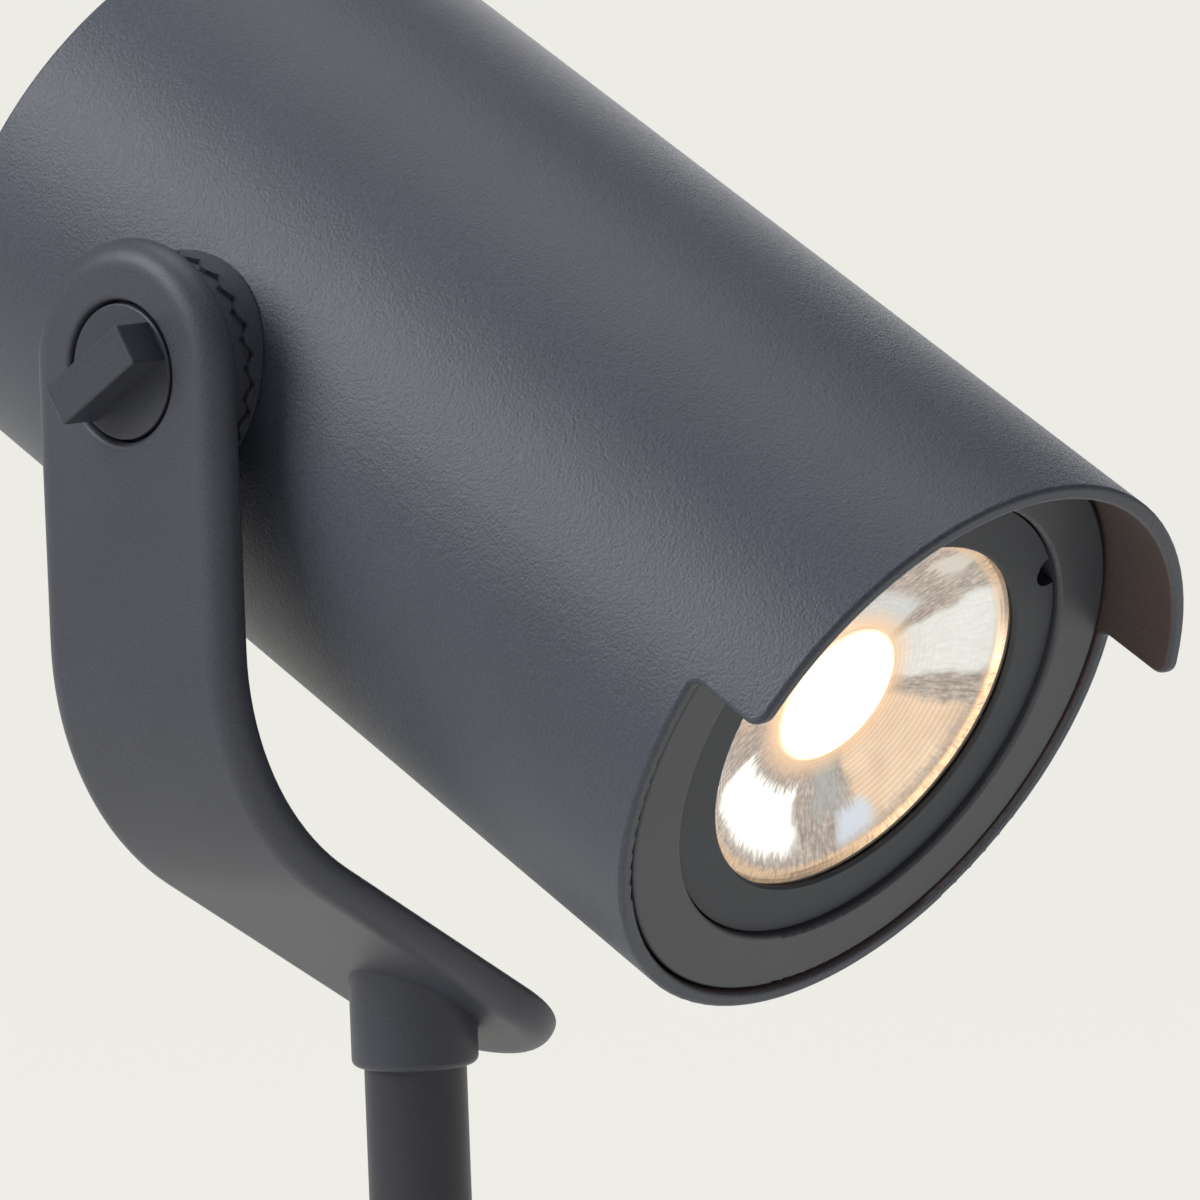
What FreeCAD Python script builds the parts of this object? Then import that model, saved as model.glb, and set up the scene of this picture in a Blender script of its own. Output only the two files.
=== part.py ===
import FreeCAD, Part
import math
import os
from types import SimpleNamespace

import Sketcher
from FreeCAD import Vector

# Garden spike spotlight: a round head with a visor on a side arm, which turns on a stem in a ground spike.
# Part frame: +Z up, front of the lamp towards -Y, origin on the stem's axis at ground level.
# Head frame: origin on the head's axis beside the pivot, X level, Y up across the head, Z towards the light.
# Joint frame: on the pivot axis, Z from the head out through the arm, X along the head's axis.

SIZES = {
    # where the joints are
    "pivot_height": 280.0,          # pivot axis above the ground
    "rest_tilt": 30.0,              # head's axis below level, degrees
    "head_offset": 4.14,            # head's axis beside the stem's axis
    "pivot_rise": 1.25,             # pivot axis above the head's axis
    # head shell
    "tube_radius": 45.0,
    "tube_wall": 2.2,
    "front_reach": 97.2,            # pivot to the front rim
    "rear_reach": 45.9,             # pivot to the rear rim
    "visor_reach": 12.3,            # visor in front of the rim
    "visor_height": 11.4,           # lower edge of the visor above the head's axis
    "visor_turn": 1.7,              # visor turned about the head's axis, degrees
    "visor_inner_round": 1.4,
    "visor_tip_round": 2.4,
    "rim_round": 0.7,
    "post_inset": 3.6,              # axes of the long screws inside the tube's inner wall
    "post_count": 3,
    "lug_radius": 4.0,
    "front_lug_length": 12.9,
    "rear_lug_length": 12.0,
    "rear_ledge": 2.6,
    "rear_ledge_thickness": 2.0,
    # front ring and inner ring
    "bezel_setback": 0.6,           # front ring behind the rim
    "bezel_gap": 0.4,               # gap between front ring and tube
    "bezel_bore": 34.0,
    "bezel_shoulder_bore": 28.0,
    "bezel_shoulder_height": 2.3,
    "bezel_skirt_depth": 16.0,
    "bezel_skirt_wall": 2.8,
    "bezel_edge": 0.6,
    "bezel_post_radius": 2.6,
    "groove_depth": 1.8,
    "groove_setback": 11.7,         # middle of the seal's groove behind the front ring's face
    "oring_section": 0.88,          # radius of the seal's round section
    "ring_setback": 1.1,            # inner ring behind the front ring
    "ring_gap": 0.3,
    "ring_bore": 26.8,
    "ring_lip": 0.7,
    "ring_wall": 3.6,
    "ring_chamfer": 0.3,
    "notch_radius": 2.6,
    "notch_depth": 2.4,
    "notch_angle": 37.8,
    # glass, lens and light source
    "glass_thickness": 2.0,
    "glass_seal": 0.5,
    "glass_seal_bore": 27.5,
    "lens_gap": 0.25,               # lens behind the glass, inside the seal and inside the cup
    "lens_flange": 2.6,
    "lens_rim": 1.0,
    "lens_well_depth": 4.5,
    "lens_dome_height": 4.2,
    "lens_depth": 24.4,
    "lens_foot_radius": 9.4,
    "lens_back_curve": 36.0,
    "lens_well_radius": 11.0,
    "lens_well_curve": 24.0,
    "lens_cavity_radius": 7.5,
    "lens_cavity_depth": 6.5,
    "lens_cavity_edge": 0.9,
    "cup_bore": 14.6,
    "cup_wall": 1.8,
    "cup_top": 2.0,
    "cup_foot_radius": 25.2,
    "cup_foot": 2.0,
    "cup_screw_circle": 22.0,
    "lens_air": 0.8,                # lens above the light source
    "board_radius": 14.0,
    "board_thickness": 1.6,
    "emitter_radius": 7.0,
    "emitter_thickness": 0.8,
    "pad_thickness": 0.5,
    # heat sink
    "sink_gap": 0.15,
    "sink_plate": 5.0,
    "sink_core_radius": 12.0,
    "fin_gap": 1.2,                 # fins inside the lugs of the long screws
    "fin_thickness": 1.6,
    "fin_count": 24,
    "lead_radius": 0.8,
    "lead_hole_radius": 1.6,
    "lead_spread": 3.5,
    "lead_drop": 9.0,
    "sink_screw_bite": 3.0,
    # driver
    "plate_thickness": 1.5,
    "bracket_half_width": 14.0,
    "bracket_spare": 1.0,           # bracket past the terminal block
    "bracket_bend": 2.5,
    "bracket_drop": 14.0,
    "bracket_rise": 8.0,
    "driver_half_width": 12.0,
    "driver_height": 20.0,
    "driver_length": 40.0,
    "driver_space": 6.5,
    "driver_edge": 1.5,
    "driver_screw_circle": 7.5,
    "block_length": 10.0,
    "block_height": 10.0,
    "block_half_width": 9.0,
    "block_space": 2.0,
    "wire_space": 7.35,             # terminal block to cable gland
    "block_pitch": 5.4,
    "block_hole_depth": 5.0,
    # rear cap and cable gland
    "cap_setback": 2.0,
    "cap_gap": 0.3,
    "cap_thickness": 3.5,
    "cap_edge": 0.8,
    "cap_screw_sink": 1.4,
    "rear_seal": 1.0,
    "rear_seal_width": 7.2,
    "gland_thread_radius": 7.9,
    "gland_fit": 0.1,
    "gland_bore": 3.75,
    "gland_flats": 20.0,
    "gland_flange": 4.5,
    "gland_neck": 6.0,
    "gland_neck_radius": 7.4,
    "gland_inside": 5.6,
    "gland_nut_flats": 18.0,
    "gland_nut_gap": 0.8,
    "gland_nut_opening": 4.6,
    "gland_nut_end": 1.4,
    "gland_seal_radius": 5.6,
    "gland_seal_length": 8.0,
    "gland_seal_rise": 0.4,         # seal past the end of the neck
    "locknut_flats": 21.0,
    "locknut_thickness": 3.0,
    # tilt joint
    "hub_radius": 15.6,
    "arm_hub_radius": 15.0,
    "arm_hub_height": 3.68,
    "hub_seal": 0.3,
    "hub_seal_radius": 15.2,
    "hub_floor": 0.6,
    "tooth_count": 24,
    "tooth_height": 1.1,
    "tooth_clearance": 0.3,
    "tooth_inner_radius": 9.0,
    "tooth_valley_share": 0.04,     # half width of the valley between two teeth as a share of the pitch
    "tooth_crest_share": 0.11,      # half width of a tooth's crest as a share of the pitch
    "tooth_foot": 0.2,              # root of a tooth below the face it stands on
    "spigot_radius": 7.0,
    "spigot_fit": 0.1,
    "wall_hole_fit": 0.2,
    "saddle_washer_radius": 11.0,
    "saddle_washer_depth": 3.4,     # flat face behind the tube's inner wall
    "hub_nut_flats": 20.0,
    "hub_nut_thickness": 3.4,
    "spigot_end": 1.0,
    "insert_radius": 4.0,
    "insert_length": 8.5,
    "insert_chamfer": 0.4,
    "spigot_bottom": 2.4,
    # clamp knob
    "bolt_radius": 2.5,
    "bolt_fit": 0.05,
    "bolt_clearance": 0.3,
    "bolt_chamfer": 0.6,
    "bolt_reach": 6.6,              # bolt inside the insert
    "bolt_collar_radius": 4.2,
    "bolt_collar_thickness": 1.0,
    "bolt_cover": 2.6,
    "knob_radius": 9.2,
    "knob_gap": 0.42,
    "knob_thickness": 2.2,
    "knob_setback": 0.3,
    "grip_length": 16.7,
    "grip_width": 6.0,
    "grip_height": 6.0,
    "grip_edge": 0.4,
    "knob_edge": 0.3,
    "grip_angle": 31.8,
    "knob_washer_radius": 5.5,
    "knob_washer_thickness": 0.5,
    # arm
    "strap_thickness": 5.0,
    "strap_half_width": 17.75,
    "strap_round": 3.6,             # edges of the outer face
    "strap_flat": 0.2,              # flat left between the rounds of both faces
    "strap_drop": 37.4,             # pivot to the start of the bend
    "bend_radius": 36.6,            # inside of the bend
    "foot_slope": 31.2,             # foot below level, degrees
    "foot_overhang": 4.7,           # stem's axis to the centre of the foot's round end, along the foot
    "well_round": 0.9,
    "boss_wall": 1.07,
    "boss_length": 14.6,            # upper face of the foot to the lower end of the boss
    "boss_round": 1.0,
    "seat_clearance": 0.6,          # seat round the washer of the pan bolt
    "seat_floor": 4.4,
    # stem and pan pivot
    "stem_radius": 7.2,
    "stem_wall": 1.5,
    "bush_fit": 0.08,
    "bush_wall": 0.55,
    "bush_setback": 0.3,            # bush inside the lower end of the boss
    "seat_gap": 0.1,
    "plug_length": 22.0,
    "plug_chamfer": 0.6,
    "pan_bolt_radius": 3.0,
    "pan_bolt_length": 20.0,
    "pan_head_radius": 5.25,
    "pan_head_height": 3.3,
    "pan_head_top": 2.9,            # radius of the flat on top of the head
    "pan_key_flats": 3.8,
    "pan_key_depth": 1.9,
    "pan_washer_radius": 6.3,
    "pan_washer_thickness": 0.8,
    # ground spike
    "collar_radius": 22.0,
    "collar_thickness": 5.0,
    "collar_round": 1.5,
    "socket_radius": 11.5,
    "socket_top_radius": 10.2,
    "socket_height": 34.0,
    "socket_depth": 32.0,
    "socket_fit": 0.1,
    "spike_length": 180.0,
    "spike_half_width": 15.0,
    "spike_shoulder": 22.0,
    "spike_tip": 1.2,
    "spike_fin": 3.0,
    "spike_core": 4.5,
    "grub_radius": 2.0,
    "grub_height": 22.0,
    # small screws
    "screw_radius": 1.5,
    "screw_fit": 0.1,
    "screw_head_radius": 2.75,
    "screw_head_height": 2.4,
    "screw_key_radius": 1.2,
    "screw_key_depth": 1.4,
    "screw_bite": 8.0,
    "hole_spare": 1.0,              # holes deeper than their screws
    # outlines
    "root_overlap": 1.0,            # fins and posts into what carries them
    "overcut": 1.0,                 # outlines that cut, past what they cut
}


class Formula:
    """A length or angle with its present value and the text that binds it to the sheet."""

    def __init__(self, value, text):
        self.value = value
        self.text = text

    def join(self, other, sign, value):
        return Formula(value, f"({self.text} {sign} {wrap(other).text})")

    def __add__(self, other):
        return self.join(other, "+", self.value + wrap(other).value)

    def __sub__(self, other):
        return self.join(other, "-", self.value - wrap(other).value)

    def __mul__(self, other):
        return self.join(other, "*", self.value * wrap(other).value)

    def __truediv__(self, other):
        return self.join(other, "/", self.value / wrap(other).value)

    def __neg__(self):
        return Formula(-self.value, f"(-{self.text})")


def wrap(number):
    """Make a plain number a formula, and leave a formula as it is."""
    if isinstance(number, Formula):
        return number
    return Formula(float(number), repr(float(number)))


def root(formula):
    return Formula(math.sqrt(formula.value), f"sqrt({formula.text})")


def sine(formula):
    return Formula(math.sin(math.radians(formula.value)), f"sin({formula.text})")


def cosine(formula):
    return Formula(math.cos(math.radians(formula.value)), f"cos({formula.text})")


def tangent(formula):
    return Formula(math.tan(math.radians(formula.value)), f"tan({formula.text})")


ZERO = wrap(0)
PAIR = wrap(2)
FULL_TURN = wrap(360)
QUARTER_TURN = wrap(90)
FRONT_POST = QUARTER_TURN       # first of the posts of the front ring
REAR_POST = -QUARTER_TURN       # first of the posts of the rear cap

doc = FreeCAD.newDocument("garden_spotlight")
sheet = doc.addObject("Spreadsheet::Sheet", "sizes")
for row, (alias, amount) in enumerate(SIZES.items(), start=1):
    sheet.set(f"A{row}", alias)
    sheet.set(f"B{row}", str(amount))
    sheet.setAlias(f"B{row}", alias)
doc.recompute()

# every size of the sheet under its own name, such as d.tube_radius
d = SimpleNamespace(**{alias: Formula(amount, f"sizes.{alias}") for alias, amount in SIZES.items()})


# ---------------------------------------------------------------------------------------------------------
# Places of the sub-parts

def vector_text(x, y, z):
    return f"vector({wrap(x).text}; {wrap(y).text}; {wrap(z).text})"


def place_text(base, rotation="rotation(vector(1; 0; 0); 0)"):
    return f"placement({vector_text(*base)}; {rotation})"


PIVOT = (0, 0, d.pivot_height)
HEAD_ORIGIN = (d.head_offset, d.pivot_rise * sine(d.rest_tilt),
               d.pivot_height - d.pivot_rise * cosine(d.rest_tilt))
HEAD_TURN = f"rotation(vector(1; 0; 0); {(d.rest_tilt + QUARTER_TURN).text})"
OUTWARDS = f"rotation(vector(0; 1; 0); {(-QUARTER_TURN).text})"
GRIP_TURN = f"rotation(vector(0; 0; 1); {(d.grip_angle - QUARTER_TURN).text})"
GROUND = place_text((0, 0, 0))
HEAD = place_text(HEAD_ORIGIN, HEAD_TURN)
JOINT = place_text(PIVOT, f"{HEAD_TURN} * {OUTWARDS}")
ARM = place_text(PIVOT)
ARM_SIDE = place_text(PIVOT, OUTWARDS)
KNOB = place_text(PIVOT, f"{OUTWARDS} * {GRIP_TURN}")


# ---------------------------------------------------------------------------------------------------------
# Tools for bodies and sketches

sub_parts = []


def new_body(label, place):
    """A sub-part in one of the frames above."""
    body = doc.addObject("PartDesign::Body", label)
    body.Label = label
    body.setExpression("Placement", place)
    sub_parts.append(body)
    return body


def origin_item(body, role):
    return next(item for item in body.Origin.OriginFeatures if item.Role == role)


def new_sketch(body, role, offset=None, turn=None, tip=None):
    """A sketch on a plane of the body, turned about its upright axis or tipped about its level one."""
    sketch = body.newObject("Sketcher::SketchObject", "sketch")
    sketch.AttachmentSupport = [(origin_item(body, role), "")]
    sketch.MapMode = "FlatFace"
    for angle, axis in ((turn, Vector(0, 1, 0)), (tip, Vector(1, 0, 0))):
        if angle is not None:
            sketch.AttachmentOffset = FreeCAD.Placement(Vector(0, 0, 0), FreeCAD.Rotation(axis, 1))
            sketch.setExpression("AttachmentOffset.Rotation.Angle", angle.text)
    if offset is not None:
        sketch.setExpression("AttachmentOffset.Base.z", wrap(offset).text)
    return sketch


def bind(sketch, constraint, formula):
    """Add a constraint to a sketch and tie it to the sheet."""
    index = sketch.addConstraint(constraint)
    name = f"size{index}"
    sketch.renameConstraint(index, name)
    sketch.setExpression(f"Constraints.{name}", formula.text)


def bind_point(sketch, edge, end, x, y):
    """Tie both coordinates of a point of a sketch."""
    bind(sketch, Sketcher.Constraint("DistanceX", -1, 1, edge, end, x.value), x)
    bind(sketch, Sketcher.Constraint("DistanceY", -1, 1, edge, end, y.value), y)


def arc_between(start, end, radius):
    """An arc to the left of the way from start to end where radius is above zero, else to the right."""
    chord = end - start
    middle = (start + end) * 0.5
    side = Vector(-chord.y, chord.x, 0).normalize()
    height = math.sqrt(max(radius * radius - chord.Length ** 2 / 4, 0.0))
    centre = middle + side * math.copysign(height, radius)
    if radius < 0:
        start, end = end, start
    first = math.atan2(start.y - centre.y, start.x - centre.x)
    last = math.atan2(end.y - centre.y, end.x - centre.x)
    return Part.ArcOfCircle(Part.Circle(centre, Vector(0, 0, 1), abs(radius)), first, last)


def outline(sketch, corners):
    """A closed outline: each corner is (x, y), or (x, y, radius) where an arc ends there."""
    corners = [tuple(wrap(item) for item in corner) for corner in corners]
    start_ends = []
    for index, corner in enumerate(corners):
        before = corners[index - 1]
        start = Vector(before[0].value, before[1].value, 0)
        end = Vector(corner[0].value, corner[1].value, 0)
        if len(corner) == 3:
            edge = sketch.addGeometry(arc_between(start, end, corner[2].value), False)
            start_ends.append((edge, 1, 2) if corner[2].value > 0 else (edge, 2, 1))
            size = corner[2] if corner[2].value > 0 else -corner[2]
            bind(sketch, Sketcher.Constraint("Radius", edge, size.value), size)
        else:
            edge = sketch.addGeometry(Part.LineSegment(start, end), False)
            start_ends.append((edge, 1, 2))
    for index, corner in enumerate(corners):
        edge, _, end = start_ends[index]
        following, start, _ = start_ends[(index + 1) % len(corners)]
        sketch.addConstraint(Sketcher.Constraint("Coincident", edge, end, following, start))
        bind_point(sketch, edge, end, corner[0], corner[1])
    return sketch


def circle(sketch, radius, x=0, y=0):
    """Add a circle to a sketch."""
    centre = Vector(wrap(x).value, wrap(y).value, 0)
    edge = sketch.addGeometry(Part.Circle(centre, Vector(0, 0, 1), wrap(radius).value), False)
    bind(sketch, Sketcher.Constraint("Radius", edge, wrap(radius).value), wrap(radius))
    bind_point(sketch, edge, 3, wrap(x), wrap(y))
    return sketch


def rectangle(sketch, left, low, right, high):
    return outline(sketch, [(left, low), (right, low), (right, high), (left, high)])


def hexagon(sketch, flats):
    """A hexagon given by the width across its flats."""
    reach = wrap(flats) / math.sqrt(3)
    half = wrap(flats) / 2
    return outline(sketch, [(reach, 0), (reach / 2, half), (-reach / 2, half),
                            (-reach, 0), (-reach / 2, -half), (reach / 2, -half)])


def on_circle(radius, angle):
    """Both coordinates of a point at this angle on a circle about the axis."""
    return radius * cosine(angle), radius * sine(angle)


def check(feature):
    """Stop where a feature failed to build."""
    if "Invalid" in feature.State or "Error" in feature.State or feature.Shape.isNull():
        raise RuntimeError(f"{feature.getParentGeoFeatureGroup().Label}: {feature.Name} failed")
    return feature


def extrude(body, kind, sketch, length, both_ways, backwards):
    """A pad or pocket of a sketch."""
    feature = body.newObject(f"PartDesign::{kind}", kind.lower())
    feature.Profile = sketch
    feature.setExpression("Length", wrap(length).text)
    feature.Reversed = backwards
    if both_ways:
        feature.SideType = "Symmetric"
    doc.recompute()
    return check(feature)


def pad(body, sketch, length, both_ways=False, backwards=False):
    return extrude(body, "Pad", sketch, length, both_ways, backwards)


def cut(body, sketch, length, both_ways=False, backwards=False):
    """Pocket a sketch, and make sure that it takes something away."""
    before = body.Shape.Volume
    feature = extrude(body, "Pocket", sketch, length, both_ways, backwards)
    smallest = 1e-6
    if body.Shape.Volume > before - smallest:
        raise RuntimeError(f"{body.Label}: {feature.Name} cuts nothing")
    return feature


def revolve(body, sketch, kind):
    """Turn a sketch about the body's Z axis, as a solid or as a groove."""
    feature = body.newObject(f"PartDesign::{kind}", kind.lower())
    feature.Profile = sketch
    feature.ReferenceAxis = (sketch, ["V_Axis"])
    feature.Angle = FULL_TURN.value
    doc.recompute()
    return check(feature)


def turned(body, corners):
    """Revolve an outline of (radius, height) corners about the body's Z axis."""
    return revolve(body, outline(new_sketch(body, "XZ_Plane"), corners), "Revolution")


def groove(body, inner, outer, low, high):
    """Cut a flat ring about the body's Z axis, and make sure that it takes something away."""
    before = body.Shape.Volume
    feature = revolve(body, rectangle(new_sketch(body, "XZ_Plane"), inner, low, outer, high), "Groove")
    if body.Shape.Volume >= before:
        raise RuntimeError(f"{body.Label}: {feature.Name} cuts nothing")
    return feature


def ring(label, place, inner, outer, low, high):
    """A sub-part that is a flat ring or disc between two heights."""
    body = new_body(label, place)
    turned(body, [(inner, low), (outer, low), (outer, high), (inner, high)])
    return body


def repeat(body, features, count, angle=FULL_TURN):
    """Repeat features round the body's Z axis."""
    pattern = body.newObject("PartDesign::PolarPattern", "pattern")
    pattern.Originals = features
    pattern.Axis = (origin_item(body, "Z_Axis"), [""])
    pattern.setExpression("Angle", angle.text)
    pattern.setExpression("Occurrences", count.text)
    body.Tip = pattern
    doc.recompute()
    return check(pattern)


def edges_where(shape, test):
    """Names of the edges of a shape that pass a test."""
    return [f"Edge{number}" for number, edge in enumerate(shape.Edges, start=1) if test(edge)]


def round_edges(body, test, radius, kind="Fillet"):
    """Round or bevel the edges of the body's shape that pass a test."""
    tip = body.Tip
    names = edges_where(tip.Shape, test)
    if not names:
        raise RuntimeError(f"{body.Label}: no edge to round")
    feature = body.newObject(f"PartDesign::{kind}", kind.lower())
    feature.Base = (tip, names)
    feature.setExpression("Radius" if kind == "Fillet" else "Size", wrap(radius).text)
    doc.recompute()
    return check(feature)


def near(first, second, limit=0.02):
    return abs(first - second) < limit


def is_circle(edge, radius, height):
    """True for a round edge about the Z axis with this radius at this height."""
    box = edge.BoundBox
    if not (near(box.ZMin, height.value) and near(box.ZMax, height.value)):
        return False
    return all(near(math.hypot(point.X, point.Y), radius.value) for point in edge.Vertexes)


# ---------------------------------------------------------------------------------------------------------
# Stations along the head's axis, from the front rim to the back

tube_inner = d.tube_radius - d.tube_wall
visor_end = d.front_reach + d.visor_reach
bezel_face = d.front_reach - d.bezel_setback
bezel_radius = tube_inner - d.bezel_gap
bezel_back = bezel_face - d.bezel_skirt_depth
ring_face = bezel_face - d.ring_setback
ring_radius = d.bezel_bore - d.ring_gap
ring_seat = ring_radius - d.ring_wall
glass_radius = ring_seat - d.ring_gap
glass_front = ring_face - d.ring_lip
glass_back = glass_front - d.glass_thickness
shoulder = glass_back - d.glass_seal
lens_radius = d.glass_seal_bore - d.lens_gap
lens_face = glass_back - d.lens_gap
lens_flange_back = lens_face - d.lens_flange
lens_back = lens_face - d.lens_depth
board_face = lens_back - d.lens_air - d.emitter_thickness
board_back = board_face - d.board_thickness
sink_face = board_back - d.pad_thickness
sink_back = sink_face - d.sink_plate
rear_face = -d.rear_reach
cap_face = rear_face + d.cap_setback
cap_radius = tube_inner - d.cap_gap
cap_inside = cap_face + d.cap_thickness
rear_lug_face = cap_inside + d.rear_seal
block_back = cap_inside + d.gland_inside + d.wire_space
block_front = block_back + d.block_length
driver_back = block_front + d.block_space
driver_front = driver_back + d.driver_length
bracket_face = driver_front + d.driver_space
bracket_floor = d.plate_thickness - d.bracket_drop
fin_end = bracket_face + d.plate_thickness
post_circle = tube_inner - d.post_inset
fin_radius = post_circle - d.lug_radius - d.fin_gap
screw_hole = d.screw_radius + d.screw_fit
gland_hole = d.gland_thread_radius + d.gland_fit
gland_neck_end = cap_face - d.gland_flange - d.gland_neck
gland_seal_end = gland_neck_end - d.gland_seal_rise

# Stations of the tilt joint along the pivot axis, from the stem's axis outwards

tube_side = d.tube_radius - d.head_offset
wall_side = tube_inner - d.head_offset
saddle_radius = d.tube_radius + d.hub_seal
hub_root = tube_side + d.hub_seal + d.hub_floor
arm_hub_face = hub_root + d.tooth_height + d.tooth_clearance
strap_inside = arm_hub_face + d.arm_hub_height
arm_face = strap_inside + d.strap_thickness
nut_seat = wall_side - d.saddle_washer_depth
nut_end = nut_seat - d.hub_nut_thickness
spigot_end = nut_end - d.spigot_end
spigot_hole = d.spigot_radius + d.spigot_fit
insert_start = spigot_end + d.spigot_bottom
insert_end = insert_start + d.insert_length
bolt_end = insert_end - d.bolt_reach
knob_face = arm_face - d.knob_setback
knob_back = knob_face - d.knob_thickness
well_radius = d.knob_radius + d.knob_gap
well_floor = knob_back - d.knob_washer_thickness
collar_start = knob_back + (d.knob_thickness - d.bolt_collar_thickness) / 2
collar_end = collar_start + d.bolt_collar_thickness
grip_top = knob_face + d.grip_height
stud_end = grip_top - d.bolt_cover
tooth_pitch = FULL_TURN / d.tooth_count

# Bend and foot of the arm, as (height, reach outwards) from the pivot axis

bend_turn = QUARTER_TURN - d.foot_slope
outer_bend_radius = d.bend_radius + d.strap_thickness
bend_centre = (-d.strap_drop, strap_inside - d.bend_radius)
inner_bend_end = (bend_centre[0] - d.bend_radius * sine(bend_turn),
                  bend_centre[1] + d.bend_radius * cosine(bend_turn))
outer_bend_end = (bend_centre[0] - outer_bend_radius * sine(bend_turn),
                  bend_centre[1] + outer_bend_radius * cosine(bend_turn))
foot_top = inner_bend_end[0] - inner_bend_end[1] * tangent(d.foot_slope)
foot_middle = foot_top - d.strap_thickness / cosine(d.foot_slope) / 2
bend_along = inner_bend_end[1] * cosine(d.foot_slope) + inner_bend_end[0] * sine(d.foot_slope)
nose_along = foot_middle * sine(d.foot_slope) - d.foot_overhang

# Heights of the pan pivot from the pivot axis

seat = foot_top - d.pan_washer_radius * tangent(d.foot_slope)
boss_ceiling = seat - d.seat_floor
boss_floor = foot_top - d.boss_length
stem_top = boss_ceiling - d.seat_gap
plug_bottom = stem_top - d.plug_length
plug_radius = d.stem_radius - d.stem_wall
pan_head_low = seat + d.pan_washer_thickness
pan_head_high = pan_head_low + d.pan_head_height
bush_inner = d.stem_radius + d.bush_fit
bush_outer = bush_inner + d.bush_wall
boss_radius = bush_outer + d.boss_wall
boss_top = foot_top + boss_radius * tangent(d.foot_slope)


# ---------------------------------------------------------------------------------------------------------
# Ground spike and stem

def make_ground_spike():
    """Collar and socket above ground, crossed fins below it."""
    body = new_body("ground_spike", GROUND)
    turned(body, [(0, -d.spike_shoulder), (d.spike_core, -d.spike_shoulder), (d.spike_core, 0),
                  (d.collar_radius, 0), (d.collar_radius, d.collar_thickness),
                  (d.socket_radius, d.collar_thickness), (d.socket_top_radius, d.socket_height),
                  (0, d.socket_height)])
    blade = outline(new_sketch(body, "XZ_Plane"), [
        (-d.spike_half_width, 0), (-d.spike_half_width, -d.spike_shoulder),
        (-d.spike_tip, -d.spike_length), (d.spike_tip, -d.spike_length),
        (d.spike_half_width, -d.spike_shoulder), (d.spike_half_width, 0)])
    fin = pad(body, blade, d.spike_fin, both_ways=True)
    repeat(body, [fin], PAIR, QUARTER_TURN)
    bore = circle(new_sketch(body, "XY_Plane", offset=d.socket_height), d.stem_radius + d.socket_fit)
    cut(body, bore, d.socket_depth)
    grub = circle(new_sketch(body, "XZ_Plane"), d.grub_radius + d.screw_fit, 0, d.grub_height)
    cut(body, grub, d.collar_radius)
    round_edges(body, lambda edge: is_circle(edge, d.collar_radius, d.collar_thickness), d.collar_round)


def make_stem():
    """Tube from the spike's socket up into the boss, the plug in its top and its grub screw."""
    ring("stem_tube", GROUND, plug_radius, d.stem_radius, d.socket_height - d.socket_depth,
         d.pivot_height + stem_top)

    plug = ring("stem_plug", ARM, d.pan_bolt_radius + d.bolt_fit, plug_radius, plug_bottom, stem_top)
    round_edges(plug, lambda edge: is_circle(edge, plug_radius, plug_bottom), d.plug_chamfer, "Chamfer")

    grub = new_body("spike_grub_screw", GROUND)
    screw = circle(new_sketch(grub, "XZ_Plane", offset=-d.stem_radius), d.grub_radius, 0, d.grub_height)
    pad(grub, screw, d.socket_top_radius - d.stem_radius, backwards=True)
    key = new_sketch(grub, "XZ_Plane", offset=-d.socket_top_radius)
    cut(grub, circle(key, d.screw_key_radius, 0, d.grub_height), d.screw_key_depth, backwards=True)


def make_pan_bolt():
    """Button head bolt through the arm's foot, with a washer under its head."""
    body = new_body("pan_bolt", ARM)
    bolt_bottom = pan_head_low - d.pan_bolt_length
    turned(body, [(0, bolt_bottom), (d.pan_bolt_radius, bolt_bottom), (d.pan_bolt_radius, pan_head_low),
                  (d.pan_head_radius, pan_head_low), (d.pan_head_top, pan_head_high, d.pan_head_radius),
                  (0, pan_head_high)])
    key = hexagon(new_sketch(body, "XY_Plane", offset=pan_head_high), d.pan_key_flats)
    cut(body, key, d.pan_key_depth)
    ring("pan_washer", ARM, d.pan_bolt_radius + d.screw_fit, d.pan_washer_radius, seat, pan_head_low)


# ---------------------------------------------------------------------------------------------------------
# Teeth, screws and holes

def make_teeth(body, root_face, crest_face, radius, phase=ZERO):
    """Ring of radial teeth about the Z axis, from root to crest; phase turns the first tooth."""
    upwards = math.copysign(1, crest_face.value - root_face.value)
    foot = root_face - d.tooth_foot * upwards
    sections = []
    for reach in (d.tooth_inner_radius, radius):
        pitch = reach * tangent(tooth_pitch / 2) * 2
        root_half = pitch / 2 - pitch * d.tooth_valley_share
        crest_half = pitch * d.tooth_crest_share
        section = new_sketch(body, "YZ_Plane", turn=phase)
        section.setExpression("AttachmentOffset.Base.x", (reach * sine(phase)).text)
        section.setExpression("AttachmentOffset.Base.z", (reach * cosine(phase)).text)
        outline(section, [(-root_half, foot), (root_half, foot), (root_half, root_face),
                          (crest_half, crest_face), (-crest_half, crest_face), (-root_half, root_face)])
        sections.append(section)
    tooth = body.newObject("PartDesign::AdditiveLoft", "tooth")
    tooth.Profile = sections[0]
    tooth.Sections = sections[1:]
    tooth.Ruled = True
    doc.recompute()
    check(tooth)
    repeat(body, [tooth], d.tooth_count)
    groove(body, radius, radius + d.overcut, root_face, crest_face + d.tooth_foot * upwards)


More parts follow.
